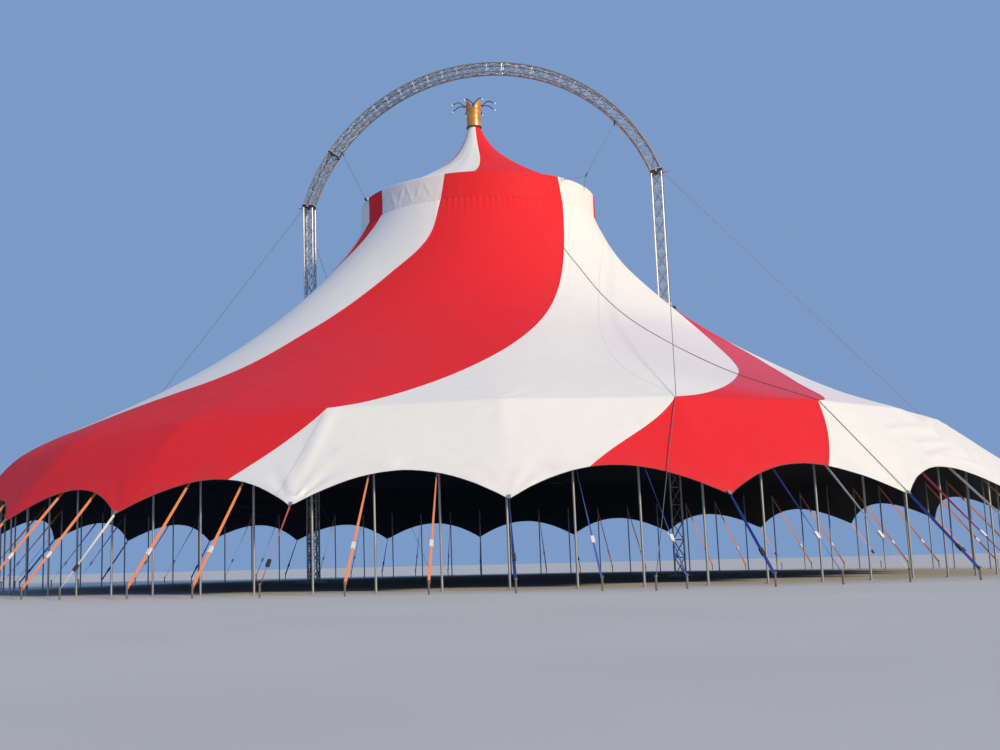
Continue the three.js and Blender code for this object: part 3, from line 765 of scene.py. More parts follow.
def seam_angle(panel, part, t):
    name, colour, first, bays, before, after = panel
    strays = stray(before, t) * (1 - part) + stray(after, t) * part
    return FIRST_TIP + BAY * (first + bays * part) + leaning(t) + strays


print("panels:", [name for name, *rest in layout()])

# %% [markdown]
# A wide panel takes more than one length of cloth, so a welded joint runs down two of the
# white ones, and on the narrower one a crease goes on to a tip. Neither needs faces of its own:
# each point of the mesh carries how far it lies from that line, and the finish draws it there as
# a thin darker line, which along the crease is painted shade.

# %% One panel
WELDED_STRIPES = ("_2_white", "_4_white")
WELD_LINE = [
    (0, 0.78), (0.057, 0.593), (0.143, 0.353), (0.236, 0.279), (0.383, 0.285), (0.537, 0.35),
    (0.676, 0.437), (0.807, 0.57), (0.884, 0.69), (0.95, 0.833), (1, 1),
]
TIP_CREASE = -1.35


def weld_part(panel, t):
    """How far across a panel its line is: a joint above the knee, a crease to the tip below it."""
    if t < 1 and panel[0].endswith(WELDED_STRIPES):
        return follow(WELD_LINE, t)
    if t >= 1 and panel[0].endswith(WELDED_STRIPES[0]):
        left, right = seam_angle(panel, 0, t), seam_angle(panel, 1, t)
        return (seam_angle(panel, 0, 1) + TIP_CREASE * (t - 1) - left) / (right - left)
    return -WELD_MARK


def panel_grid(panel):
    """Rows of (angle, raised, distance from the line of weld_part) for the outer face of a panel."""
    columns = panel[3] * COLUMNS_PER_BAY
    grid = []
    for t in ROWS:
        left, right = seam_angle(panel, 0, t), seam_angle(panel, 1, t)
        metre = math.degrees(1 / canvas(left, t).xy.length) / (right - left)
        gap, lap = SEAM_GAP * metre, LAP * metre
        inner = [lap + (1 - 2 * lap) * k / columns for k in range(columns + 1)]
        step = 0.9 * lap
        row = [(gap, 1), (step, 1), *((part, 0) for part in inner), (1 - step, 1), (1 - gap, 1)]
        joint_and_crease = weld_part(panel, t)
        angles = [seam_angle(panel, part, t) for part, raised in row]
        welds = [WELD_MARK + (part - joint_and_crease) / metre for part, raised in row]
        grid.append([(angle, raised, w) for angle, (part, raised), w in zip(angles, row, welds)])
    return grid


print("points across the first panel:", len(panel_grid(next(layout()))[0]))

# %% [markdown]
# The grid becomes a closed sheet in one go: its outer face from the roof's formulas and the
# wrinkles, its lining the thickness of the cloth further in, and a rim of faces between the
# two all the way round. A Solidify modifier would do much the same, but its corners at the
# seams would depend on each panel alone, and here neighbouring edges stay exactly parallel.

# %% Panel mesh
def build_panel(panel):
    colour = panel[1]
    grid = panel_grid(panel)
    wide = len(grid[0])
    outer, inner, marks, welds = [], [], [], []
    for t, row in zip(ROWS, grid):
        for angle, raised, joint_and_crease in row:
            side = outward(angle, t)
            lift = wrinkle(angle, t) + (LAP_LIFT * raised if colour == "red" else 0)
            top = canvas(angle, t) + side * lift
            outer.append(top)
            inner.append(top - side * CLOTH)
            marks.append(t)
            welds.append(joint_and_crease)
    count = len(outer)
    faces, lining, rim = [], [], []
    for row in range(len(ROWS) - 1):
        for k in range(wide - 1):
            a = row * wide + k
            faces.append([a, a + wide, a + wide + 1, a + 1])
            lining.append([count + i for i in (a, a + 1, a + wide + 1, a + wide)])
    last = (len(ROWS) - 1) * wide
    for k in range(wide - 1):
        rim.append([k, k + 1, count + k + 1, count + k])
        rim.append([last + k + 1, last + k, count + last + k, count + last + k + 1])
    for row in range(0, last, wide):
        rim.append([row + wide, row, count + row, count + row + wide])
        rim.append([row + wide - 1, row + 2 * wide - 1, count + row + 2 * wide - 1, count + row + wide - 1])
    stock = Stock(CLOTHS[colour])
    stock.add(outer + inner, faces)
    # The inner face takes the near-black painted shade.
    stock.skin(lining, painted_shade_lining)
    stock.skin(rim)
    sheet = stock.piece(panel[0] + "_cloth", "canvas_" + colour, panel[0])
    for name, values in (("down", marks), ("joint_and_crease", welds)):
        attribute = sheet.data.attributes.new(name, "FLOAT", "POINT")
        attribute.data.foreach_set("value", values * 2)
    return sheet, outer, wide


print("cloth", 1000 * CLOTH, "mm thick with its lining")

# %% [markdown]
# ## Holes for the arch
# The two legs of the arch come up through the roof. Leaving faces out would give a ragged hole,
# because the grid runs slanting there. A square hole is cut with a Boolean for each leg
# instead, which also keeps the sheet closed around the hole.

# %% Leg holes
ARCH_RADIUS, ARCH_SWEEP = 6.16, 71.4
SPRING_HEIGHT = 12.765
HALF_SPAN = ARCH_RADIUS * math.sin(math.radians(ARCH_SWEEP))
ARCH_CENTRE = SPRING_HEIGHT - ARCH_RADIUS * math.cos(math.radians(ARCH_SWEEP))
LEG_HOLE = 0.45


def cutter_box(sign):
    stock = Stock()
    stock.box(Vector((sign * HALF_SPAN, 0, 8)), (LEG_HOLE, LEG_HOLE, 6))
    mesh = bpy.data.meshes.new("leg_hole")
    mesh.from_pydata(stock.points, [], stock.faces)
    hole = bpy.data.objects.new("leg_hole", mesh)
    bpy.context.scene.collection.objects.link(hole)
    return hole


def cut(sheet, hole):
    modifier = sheet.modifiers.new("hole", "BOOLEAN")
    modifier.operation = "DIFFERENCE"
    modifier.solver = "EXACT"
    modifier.object = hole
    bpy.context.view_layer.update()
    shape = sheet.evaluated_get(bpy.context.evaluated_depsgraph_get())
    mesh = bpy.data.meshes.new_from_object(shape)
    sheet.modifiers.clear()
    old = sheet.data
    sheet.data = mesh
    bpy.data.meshes.remove(old)


def has_leg(sheet, sign):
    xs = [v.co.x - sign * HALF_SPAN for v in sheet.data.vertices]
    ys = [v.co.y for v in sheet.data.vertices]
    return any(abs(x) < LEG_HOLE and abs(y) < LEG_HOLE for x, y in zip(xs, ys))


print("legs", round(2 * HALF_SPAN, 2), "m apart")

# %% [markdown]
# ## The whole roof
# Every panel is built and gets its hole if a leg passes through it. Its flat size is measured
# on the made cloth, row by row, and taken back by the 1 % that it is stretched, since such a
# swirl can't be unrolled by hand.

# %% Sew the roof
def flat_size(outer, wide):
    """The size of the flat cut: its breadth square to the seam, its length along it and its area."""
    rows = [outer[i:i + wide] for i in range(0, len(outer), wide)]
    breadth = length = area = 0.0
    for a, b in zip(rows, rows[1:]):
        strip = sum(((b[k + 1] - a[k]).cross(b[k] - a[k + 1])).length / 2 for k in range(wide - 1))
        seam = max((b[0] - a[0]).length, (b[-1] - a[-1]).length)
        breadth = max(breadth, strip / seam)
        length += seam
        area += strip
    return breadth / STRETCH, length / STRETCH, area / STRETCH ** 2


holes = {sign: cutter_box(sign) for sign in (1, -1)}
for panel in layout():
    sheet, outer, wide = build_panel(panel)
    breadth, length, area = flat_size(outer, wide)
    for sign, hole in holes.items():
        if has_leg(sheet, sign):
            cut(sheet, hole)
    print("  cut to", round(breadth, 2), "x", round(length, 2), "m,", round(area, 1), "m2")
for hole in holes.values():
    bpy.data.objects.remove(hole)

# %% [markdown]
# ## The cupola
# Over the ring stands a short drum of the same cloth, laced to a round lattice inside it. Wind
# presses the cloth on the lattice, so on the white part its zigzag shows as faint ridges, and
# the slack lower part is crumpled. At the top the cloth rolls over the hoop of the ring. A
# bump map would lose that at the outline, so a closed sheet with fine columns carries it as
# real shape. Its colours go up from where the panels of the roof end.

# %% Drum wall
DRUM_ZIGZAGS = 36
DRUM_ROWS = 26
ROLL_ROWS = 6
DRUM_COLUMN = 0.42
DRUM_SAG = 0.014
FIELD_NARROWING = 2.2
RIDGES_AT = -117
RIDGES_WIDE = 18
ROLL = 0.035
ROLL_TURN = 78
ROLL_CENTRE = RING_TOP - 0.019


def zigzag(angle, high):
    """1 on the lattice's slanting bars, 0 half way between them."""
    across = angle / 360 * DRUM_ZIGZAGS
    ahead = abs((across + high / 2) % 1 - 0.5) * 2
    back = abs((across - high / 2) % 1 - 0.5) * 2
    return max(ahead, back) ** 6


def drum_bulge(angle, high):
    """How far the wall stands out, in metres, at a height of 0 to 1."""
    place = at(angle, RING_RADIUS, high * 0.8)
    taut = math.sin(math.pi * min(1.0, max(0.0, high)))
    slack = (1 - high) ** 2
    ridged = 0.15 + 0.85 * bell(half_round(angle, RIDGES_AT), 0, RIDGES_WIDE)
    crumple = noise.noise(place * 3.1) + 0.7 * ridged * noise.noise(place * 8.3)
    ridges = -DRUM_SAG * taut * (1 - zigzag(angle, high)) * ridged
    return ridges + 0.016 * crumple * (0.2 + 1.2 * slack * ridged) * taut ** 0.5


def drum_lines(high):
    """The angles between the colours of the wall. The widest field narrows a little upwards."""
    panels = list(layout())
    lines = []
    for before, panel in zip(panels[-1:] + panels, panels):
        lean = FIELD_NARROWING * ((panel[3] == 4) - (before[3] == 4))
        lines.append(seam_angle(panel, 0, 0) + lean * min(high, 1))
    return lines + [lines[0] + 360]


def drum_columns():
    """A place and a colour for each column of faces, counted in colours round the wall."""
    columns = []
    lines = drum_lines(0)
    for i, panel in enumerate(layout()):
        count = round((lines[i + 1] - lines[i]) / DRUM_COLUMN)
        columns += [(i + k / count, panel[1]) for k in range(count)]
    return columns


print("columns round the drum:", len(drum_columns()))

# %% Round shells
def round_shell(name, node, columns, rows, skin):
    """A closed sheet that goes all the way round. skin(place, row) is a point of its outside."""
    wide = len(columns)
    outer, inner = [], []
    for row in rows:
        for place, colour in columns:
            point = skin(place, row)
            inward = Vector((-point.x, -point.y, 0)).normalized()
            outer.append(point)
            inner.append(point + inward * CLOTH)
    stock = Stock()
    stock.points = outer + inner
    count = len(outer)
    top = (len(rows) - 1) * wide
    for k, (place, colour) in enumerate(columns):
        after = (k + 1) % wide
        for row in range(0, top, wide):
            a, b = row + k, row + after
            stock.skin([[a, b, b + wide, a + wide]], CLOTHS[colour])
            stock.skin([[count + corner for corner in (a, a + wide, b + wide, b)]], painted_shade_lining)
        lower_rim = [after, k, count + k, count + after]
        upper_rim = [top + k, top + after, count + top + after, count + top + k]
        stock.skin([lower_rim, upper_rim], CLOTHS[colour])
    return stock.piece(name, "cupola_cloth", node)


def drum_skin(place, high):
    """place counts the colours and high is 0 to 1 up the wall and 1 to 2 over the rolled edge."""
    lines = drum_lines(high)
    count = int(place)
    angle = lines[count] + (lines[count + 1] - lines[count]) * (place - count)
    if high <= 1:
        height = RING_BOTTOM + (ROLL_CENTRE - RING_BOTTOM) * high
        return at(angle, RING_RADIUS + drum_bulge(angle, high), height)
    turn = math.radians(ROLL_TURN) * (high - 1)
    return at(angle, RING_RADIUS - ROLL * (1 - math.cos(turn)), ROLL_CENTRE + ROLL * math.sin(turn))


drum_rows = [i / DRUM_ROWS for i in range(DRUM_ROWS + 1)]
drum_rows += [1 + (i + 1) / ROLL_ROWS for i in range(ROLL_ROWS)]
drum = round_shell("drum_cloth", "cupola_wall", drum_columns(), drum_rows, drum_skin)

# %% [markdown]
# The cone on the drum is sewn from strips that lean a little round it. It isn't straight: the
# cloth hangs in a steep slack curve from the crown and is nearly flat at the rim. The lines
# between its colours are smooth curves of the angle, and its columns follow them, so each
# colour ends on an edge of the mesh and not half way across a face.

# %% Cone
CONE_TOP_RADIUS, CONE_TOP = 0.20, 14.9
CONE_RIM = RING_RADIUS - 0.012
CONE_FOOT = RING_TOP + 0.008
CONE_ROWS = 44
CONE_SLACK = 0.73
CONE_PARTS = [("red", 68), ("white", 20), ("red", 10), ("white", 46)]
NARROW_STRIPE = [(0, -143), (0.1, -133), (0.2, -125), (0.32, -118.5), (0.42, -120), (0.6, -134), (1, -140)]


def cone_lines(t):
    """The angles between the colours in half a round, with t 0 at the cone's top and 1 at the ring."""
    swing = min(1.0, max(0.0, (t - 0.85) / 0.13))
    main = -69.5 - 13.5 * t - 12.6 * swing * swing * (3 - 2 * swing)
    narrow = follow(NARROW_STRIPE, t)
    return [main - 180, main - 95, narrow - 6, narrow, main]


def cone_skin(place, t):
    """place counts the colours: its whole part says which, the rest how far across."""
    count = int(place)
    lines = cone_lines(t)
    part = count % len(CONE_PARTS)
    half_turns = count // len(CONE_PARTS)
    angle = lines[part] + (lines[part + 1] - lines[part]) * (place - count) + 180 * half_turns
    radius = CONE_TOP_RADIUS + (CONE_RIM - CONE_TOP_RADIUS) * t
    steep = CONE_SLACK + 0.06 * math.cos(math.radians(angle + 5))
    rise = (1 - t) ** 1.25 * (steep + (1 - steep) * math.exp(-t / 0.1))
    ribs = 0.005 * math.sin(math.pi * t) * math.cos(math.radians(BAYS * angle))
    soft = 0.010 * noise.noise(at(angle, radius, 3 * t) * 1.4)
    calm = min(1, 6 * (1 - t)) * min(1, 8 * t)
    return at(angle, radius, CONE_FOOT + (CONE_TOP - CONE_FOOT) * rise + (ribs + soft) * calm)


def cone_columns():
    columns = []
    for count in range(2 * len(CONE_PARTS)):
        colour, steps = CONE_PARTS[count % len(CONE_PARTS)]
        columns += [(count + k / steps, colour) for k in range(steps)]
    return columns


cone_rows = [1 - (i / CONE_ROWS) ** 1.5 for i in range(CONE_ROWS + 1)]
cone = round_shell("cone_cloth", "cupola_cone", cone_columns(), cone_rows, cone_skin)

# %% [markdown]
# The ring itself is a round lattice: two hoops with a zigzag of thinner tube between them, and
# twelve posts. It shows from inside. Each bar is a tube between two points, which is quicker to
# change than a modelled and arrayed segment.

# %% Ring truss
RING_LINE = RING_RADIUS - 0.0443
LOW_HOOP = RING_BOTTOM + 0.10
HIGH_HOOP = RING_TOP - 0.06
HOOP_SIDES = 96
HOOP_BAR, ZIGZAG_BAR, POST_BAR = 0.02, 0.012, 0.016
RING_POSTS = 12


def hoop(stock, radius, height, thick, finish=None):
    """A ring of round bar that lies level."""
    band = []
    turns = [2 * math.pi * j / 8 for j in range(8)]
    for k in range(HOOP_SIDES):
        angle = 360 * k / HOOP_SIDES
        out = at(angle, 1, 0)
        lift = Vector((0, 0, 1))
        middle = at(angle, radius, height)
        band.append([middle + thick * (math.cos(a) * out + math.sin(a) * lift) for a in turns])
    stock.loft(band, finish, looped=True)


def ring_truss():
    ring = Stock(galvanised)
    for height in (LOW_HOOP, HIGH_HOOP):
        hoop(ring, RING_LINE, height, HOOP_BAR)
    for k in range(DRUM_ZIGZAGS):
        low, next_low = (at(360 * i / DRUM_ZIGZAGS, RING_LINE, LOW_HOOP) for i in (k, k + 1))
        high = at(360 * (k + 0.5) / DRUM_ZIGZAGS, RING_LINE, HIGH_HOOP)
        ring.tube([low, high], ZIGZAG_BAR)
        ring.tube([high, next_low], ZIGZAG_BAR)
    for k in range(RING_POSTS):
        angle = 360 * k / RING_POSTS
        ring.tube([at(angle, RING_LINE, LOW_HOOP), at(angle, RING_LINE, HIGH_HOOP)], POST_BAR)
    ring.piece("ring_truss", "galvanised_steel", "cupola_ring")


ring_truss()

# %% [markdown]
# ## The crown
# A gilded cup with four flaring points stands on the cone, held by a dark clamp band. It could
# be turned as a lathe shape with the gaps cut out of it. Here the rim of the lathe shape rises
# and falls with the points instead, so the cup is one continuous wall with even faces.

# %% Crown cup
CROWN_FOOT = CONE_TOP + 0.0006
CROWN_RIM = CROWN_FOOT + 0.66
CROWN_NOTCH = 0.30
CROWN_RADIUS, CROWN_WALL = 0.240, 0.010
CROWN_BANDS = [   # radius, height over the foot, thickness, finish
    (0.243, 0.018, 0.016, dark_steel),
    (0.234, 0.30, 0.009, gold_paint),
    (0.252, 0.63, 0.010, gold_paint),
]
CROWN_POINTS = 4
FIRST_POINT = -35
CROWN_COLUMNS = 144
CROWN_ROWS = 18


def crown_wall(angle, up, inside):
    """up is 0 at the foot, 1 at the bottom of the notches and 2 at the points."""
    phase = ((angle - FIRST_POINT) / (360 / CROWN_POINTS)) % 1
    point = (abs(phase - 0.5) * 2) ** 1.3
    above = max(0.0, up - 1) * point
    below = min(up, 1.0)
    waist = 0.010 * math.sin(math.pi * below)
    radius = CROWN_RADIUS - waist + 0.016 * below ** 4 + 0.044 * above ** 1.5
    height = CROWN_FOOT + (CROWN_RIM - CROWN_FOOT) * below + CROWN_NOTCH * above
    return at(angle, radius - CROWN_WALL * inside, height)


def crown_cup():
    cup = Stock(gold_paint)
    ups = [i / CROWN_ROWS for i in range(CROWN_ROWS)] + [1 + i / 10 for i in range(11)]
    angles = [360 * k / CROWN_COLUMNS for k in range(CROWN_COLUMNS)]
    rings = []
    for inside, order in ((0, ups), (1, ups[::-1])):
        rings += [[crown_wall(angle, up_share, inside) for angle in angles] for up_share in order]
    cup.loft(rings, looped=True)
    for radius, height, thick, finish in CROWN_BANDS:
        hoop(cup, radius, CROWN_FOOT + height, thick, finish)
    for k in range(CROWN_POINTS):
        tip = crown_wall(FIRST_POINT + 360 * k / CROWN_POINTS, 2, 0.5)
        cup.ball(tip + Vector((0, 0, -0.01)), 0.018)
    cup.piece("crown_cup", "gold_paint", "crown")


crown_cup()

# %% [markdown]
# Eight springy wires with white beads curl out of the crown, two through each gap between its
# points. Each is a tube along a smooth line through five corners, which bends as evenly as a
# real wire does, and that a row of straight tubes wouldn't show.

# %% Crown wires
CROWN_WIRES = 8
FIRST_WIRE = -57.5
CROWN_WIRE = 0.015
BEAD = 0.036


def crown_wires():
    wires = Stock(black_paint)
    hub = [at(360 * k / CROWN_WIRES, 0.11, CROWN_FOOT + 0.03) for k in range(CROWN_WIRES)]
    wires.loft([hub, [point + Vector((0, 0, 0.05)) for point in hub]])
    for k in range(CROWN_WIRES):
        angle = FIRST_WIRE + 360 * k / CROWN_WIRES
        gap = 360 / CROWN_POINTS
        notch = FIRST_POINT + (round((angle - FIRST_POINT) / gap - 0.5) + 0.5) * gap
        through = notch + 0.3 * (angle - notch)
        corners = [
            at(through, 0.09, CROWN_FOOT + 0.06),
            at(through, 0.15, CROWN_RIM + 0.08),
            at(through, 0.30, CROWN_RIM + 0.12),
            at(angle, 0.54, CROWN_RIM + 0.19),
            at(angle, 0.77, CROWN_RIM + 0.06),
        ]
        wires.tube(spline(corners, 8), CROWN_WIRE)
        wires.ball(corners[-1], BEAD, bead_paint, rows=10, sides=16)
    wires.piece("crown_wires_and_beads", "black_wire", "crown_wires")


crown_wires()

# %% [markdown]
# ## The arch
# One lattice arch carries the whole roof. Its four round chords are tied by short rungs and
# slanting bars about every half metre. One length of truss could be modelled and arrayed along
# a curve, but that would stretch the bars. So the corner points of each frame come first, and
# then every bar is a tube between two of them, as a welder would lay it out.

# %% Arch frames
TRUSS = 0.310
CHORD = 0.025
RUNG = 0.015
BRACE = 0.013
LEG_FRAMES = 24
SPAN_FRAMES = 15
SIDEWAYS = Vector((0, 1, 0))
CORNERS = [(1, 1), (1, -1), (-1, -1), (-1, 1)]
SIDES = [(0, 1), (1, 2), (2, 3), (3, 0)]
RUNG_HINT = Vector((0.3, 0.2, 0.9))
BRACE_HINT = Vector((0.3, 0.9, 0.2))
MITRE = math.radians((90 - ARCH_SWEEP) / 2)
BASE_THICK = 0.025


def frame_corners(centre, out, reach=1.0):
    return [centre + out * (x * reach * TRUSS / 2) + SIDEWAYS * (y * TRUSS / 2) for x, y in CORNERS]


def spring_frame(sign):
    """The mitred frame where the leg meets the curve."""
    out = Vector((sign * math.cos(MITRE), 0, math.sin(MITRE)))
    return frame_corners(Vector((sign * HALF_SPAN, 0, SPRING_HEIGHT)), out, 1 / math.cos(MITRE))


def leg_frames(sign):
    frames = []
    for i in range(LEG_FRAMES):
        height = BASE_THICK + (SPRING_HEIGHT - BASE_THICK) * i / LEG_FRAMES
        frames.append(frame_corners(Vector((sign * HALF_SPAN, 0, height)), Vector((sign, 0, 0))))
    return frames + [spring_frame(sign)]


def span_frame(sign, turn):
    out = Vector((sign * math.sin(turn), 0, math.cos(turn)))
    return frame_corners(out * ARCH_RADIUS + Vector((0, 0, ARCH_CENTRE)), out)


def span_frames(sign):
    turns = [math.radians(ARCH_SWEEP) * i / SPAN_FRAMES for i in range(SPAN_FRAMES)]
    return [span_frame(sign, turn) for turn in turns] + [spring_frame(sign)]


def lattice(stock, frames, curved):
    """Chords through the frames' corners, rungs round each frame, a cross between frames."""
    for k in range(4):
        line = [frame[k] for frame in frames]
        if curved:
            line = spline(line, 3)
        # The curved chords take the darker copy of the truss metal, which is painted shade.
        stock.tube(line, CHORD, sides=12, finish=shaded_truss_metal if curved else None, hint=SIDEWAYS)
    for frame in frames:
        for k in range(4):
            stock.tube([frame[k], frame[(k + 1) % 4]], RUNG, hint=RUNG_HINT)
    # The slanting bars take the darker copy of the truss metal too, painted shade.
    for low, high in zip(frames, frames[1:]):
        for a, b in SIDES:
            stock.tube([low[a], high[b]], BRACE, sides=6, finish=shaded_truss_metal, hint=BRACE_HINT)
            stock.tube([low[b], high[a]], BRACE, sides=6, finish=shaded_truss_metal, hint=BRACE_HINT)


print("frames on a leg:", len(leg_frames(1)), "and on a half span:", len(span_frames(1)))

# %% [markdown]
# Where leg and curve meet there is a dark hinge block, so that the arch can be folded up for
# the road. On the left the curve shows one bolted joint between two lengths of truss, and on
# the right there is a black fitting on a pale patch where the leg comes through the roof. Each
# is built from plain boxes and tubes in the leg's own directions, on the bars that carry it.

# %% Arch pieces
HINGE_HIGH = 0.09
SPLICE_TURN = math.radians(53)


def hinge(stock, sign):
    """The dark block between leg and span, with the bright ends of its pin."""
    out = Vector((sign * math.cos(MITRE), 0, math.sin(MITRE)))
    along = out.cross(SIDEWAYS) * sign
    centre = Vector((sign * HALF_SPAN, 0, SPRING_HEIGHT)) - along * 0.02
    wide = TRUSS + 2 * CHORD + 0.012
    stock.box(centre, (wide, wide, HINGE_HIGH), dark_steel, axes=(out, SIDEWAYS, along))
    pin = SIDEWAYS * (wide / 2 + 0.02)
    stock.tube([centre - pin, centre + pin], 0.032, sides=16)
    cap = centre + along * (HINGE_HIGH / 2 + 0.012)
    stock.box(cap, (wide + 0.05, wide + 0.05, 0.024), axes=(out, SIDEWAYS, along))


def splice(stock, sign):
    """A dark frame plate across the span where two lengths of truss are bolted together."""
    frame = span_frame(sign, SPLICE_TURN)
    out = (frame[0] - frame[3]).normalized()
    along = out.cross(SIDEWAYS)
    centre = sum(frame, Vector()) / 4
    wide = TRUSS + 2 * CHORD + 0.01
    stock.box(centre, (wide, wide, 0.05), dark_steel, axes=(out, SIDEWAYS, along))
    for corner in frame:
        for step in (-0.045, 0.045):
            stock.box(corner + along * step, (0.07, 0.07, 0.02), axes=(out, SIDEWAYS, along))


def roof_fitting(stock):
    """A pale patch and a black block outside the leg, where it comes through the roof."""
    roof = canvas(0, (HALF_SPAN + 0.25 - RING_RADIUS) / (KNEE_RADIUS - RING_RADIUS))
    beside = Vector((HALF_SPAN + 0.25, -0.12, roof.z + 0.10))
    stock.box(beside, (0.20, 0.12, 0.14), dark_steel)
    stock.box(beside + Vector((-0.10, -0.05, 0.14)), (0.14, 0.08, 0.09), white_cloth)


def arch_half(side, sign):
    legs = Stock(truss_metal)
    lattice(legs, leg_frames(sign), curved=False)
    hinge(legs, sign)
    if side == "right":
        roof_fitting(legs)
    legs.piece(f"arch_leg_{side}_lattice", "truss_metal", f"arch_leg_{side}")
    span = Stock(truss_metal)
    lattice(span, span_frames(sign), curved=True)
    if side == "left":
        splice(span, sign)
    span.piece(f"arch_span_{side}_lattice", "truss_metal", f"arch_span_{side}")
    base = Stock(galvanised)
    middle = Vector((sign * HALF_SPAN, 0, BASE_THICK / 2))
    base.box(middle, (0.70, 0.70, BASE_THICK))
    for x in (-1, 1):
        for y in (-1, 1):
            corner = middle + Vector((x * TRUSS / 2, y * TRUSS / 2, BASE_THICK / 2))
            bolt = middle + Vector((x * 0.28, y * 0.28, BASE_THICK / 2))
            base.tube([corner, corner + Vector((0, 0, 0.09))], CHORD + 0.011, sides=16)
            base.tube([bolt, bolt + Vector((0, 0, 0.022))], 0.022, sides=6)
    base.piece(f"arch_base_{side}_plate", "galvanised_steel", f"arch_base_{side}")


for side, sign in (("right", 1), ("left", -1)):
    arch_half(side, sign)

# %% [markdown]
# ## Cables
# Two hoists hang from the arch and lift the ring, each through a block. From the block two
# short ropes run on to two lugs of the ring on the right, and one to one lug on the left. Steel
# rope under load is straight, so each is a plain tube between its fittings: a rope simulation
# would only find the same line.

# %% Hoists
CABLE = 0.007
BLOCK_LENGTH = 0.19
HOIST_TURN = math.radians(ARCH_SWEEP * 5 / 7)
HOISTS = [   # side, its sign, the block's angle, how far outside and over the ring, radius, lugs
    ("right", 1, -22.5, 0.18, 0.22, 0.02, (-37.5, -19)),
    ("left", -1, -144, 0.07, -0.09, 0.036, (-144,)),
]


def hoist(side, sign, hang, aside, above, block, lugs):
    """A cable from the arch to a block, and from the block a short rope to each lug of the ring."""
    reach = ARCH_RADIUS - TRUSS / 2 - CHORD - 0.04
    top = Vector((sign * reach * math.sin(HOIST_TURN), 0, ARCH_CENTRE + reach * math.cos(HOIST_TURN)))
    fitting = at(hang, RING_RADIUS + aside, RING_TOP + above)
    ropes = Stock(wire_rope)
    across = SIDEWAYS * (TRUSS / 2 + CHORD)
    ropes.tube([top - across, top + across], 0.02, sides=12, finish=dark_steel)
    ropes.tube([top, fitting], CABLE)
    block_top = fitting + (top - fitting).normalized() * BLOCK_LENGTH
    radii = [block * 0.6, block, block, block, block * 0.6]
    ropes.tube(straight(block_top, fitting, 4), radii, sides=12, finish=dark_steel)
    for angle in lugs:
        lug = at(angle, RING_RADIUS + 0.02, RING_TOP - 0.06)
        axes = at(angle, 1, 0), at(angle + 90, 1, 0), Vector((0, 0, 1))
        ropes.tube([fitting, lug], CABLE)
        ropes.box(lug, (0.03, 0.05, 0.10), bead_paint, axes)
    ropes.piece(f"hoist_{side}_ropes", "wire_rope", f"hoist_{side}")


for each in HOISTS:
    hoist(*each)

# %% [markdown]
# From a stub at the top of each leg one guy runs straight out to a stake. Another comes down
# to the knee of the roof, lies on the drop to the edge and ends at a stake of its own. Their
# points on the cloth come from the roof's formulas, so they touch it however it is changed.

# %% Guys
STUB = 0.18
CLAMP = 0.04
GUY_REACH = 17.56
OVER_REACH = 17.80
STAKE_HEIGHT = 0.26
GUYS = [("right", 1, 0, BAY + FIRST_TIP), ("left", -1, 180, 180 + FIRST_TIP)]


def add_stake(stock, angle, radius):
    """A steel stake with a mushroomed head."""
    line = [at(angle, radius, z) for z in (0, 0.225, 0.23, 0.25, STAKE_HEIGHT)]
    stock.tube(line, [0.019, 0.019, 0.030, 0.031, 0.024], sides=12, finish=stake_steel)


def guys(side, sign, turn, out_angle):
    top = Vector((sign * (HALF_SPAN + TRUSS / 2 + CHORD + CLAMP / 2), 0, SPRING_HEIGHT - 0.04))
    out_reach = GUY_REACH / abs(math.cos(math.radians(out_angle)))
    over_angle = turn + FIRST_TIP - 4 * BAY
    over_stake = over_angle - BAY / 2
    knee = over_canvas(over_angle, 1, 0.03)
    hem = over_canvas(over_angle - BAY / 4, 2, 0.03)
    ropes = Stock(wire_rope)
    aside = SIDEWAYS * (TRUSS / 2 + CHORD)
    ropes.tube([top - aside, top + aside], CLAMP / 2, sides=12, finish=galvanised)
    ropes.tube([top, top + Vector((sign * STUB, 0, 0))], CLAMP / 2, sides=12, finish=galvanised)
    ropes.tube([top, at(out_angle, out_reach, 0.2)], CABLE)
    ropes.tube([top, knee], CABLE)
    ropes.tube([knee, hem], CABLE)
    ropes.tube([hem, at(over_stake, OVER_REACH, 0.2)], CABLE)
    add_stake(ropes, out_angle, out_reach)
    add_stake(ropes, over_stake, OVER_REACH)
    ropes.piece(f"guys_{side}_ropes", "wire_rope", f"guys_{side}")


for each in GUYS:
    guys(*each)

# %% [markdown]
# A dark rope lies over the roof in front and behind, to hold it down in a storm. It isn't
# straight: it sags sideways on the slope of the cloth. `SWAY` is that sideways line, and each
# point of the rope is lifted off the cloth by a little more than its radius.

# %% Storm ropes
ROPE = 0.007
ROPE_LIFT = 0.011
ROPE_STEPS = 160
ROPE_START = 0.08
SWAY = [   # t and how many degrees the rope lies beside its straight line there
    (0.05, -0.9), (0.091, 0.5), (0.128, 1.7), (0.159, 2.0), (0.228, 1.6), (0.448, -0.4),
    (0.661, -1.9), (0.809, -2.0), (0.947, -0.5), (1, 0), (1.05, 0), (1.97, 0),
]


def storm_rope(side, turn):
    """Out from under a seam below the ring and then over the roof to a tip."""
    rope = Stock(dark_rope)
    line = []
    for i in range(ROPE_STEPS + 1):
        t = ROPE_START + (SWAY[-1][0] - ROPE_START) * i / ROPE_STEPS
        line.append(over_canvas(FIRST_TIP + turn + follow(SWAY, t), t, ROPE_LIFT))
    rope.tube(line, ROPE)
    rope.piece(f"storm_rope_{side}_line", "dark_rope", f"storm_rope_{side}")


storm_rope("front", -3 * BAY)
storm_rope("back", 180 - 3 * BAY)

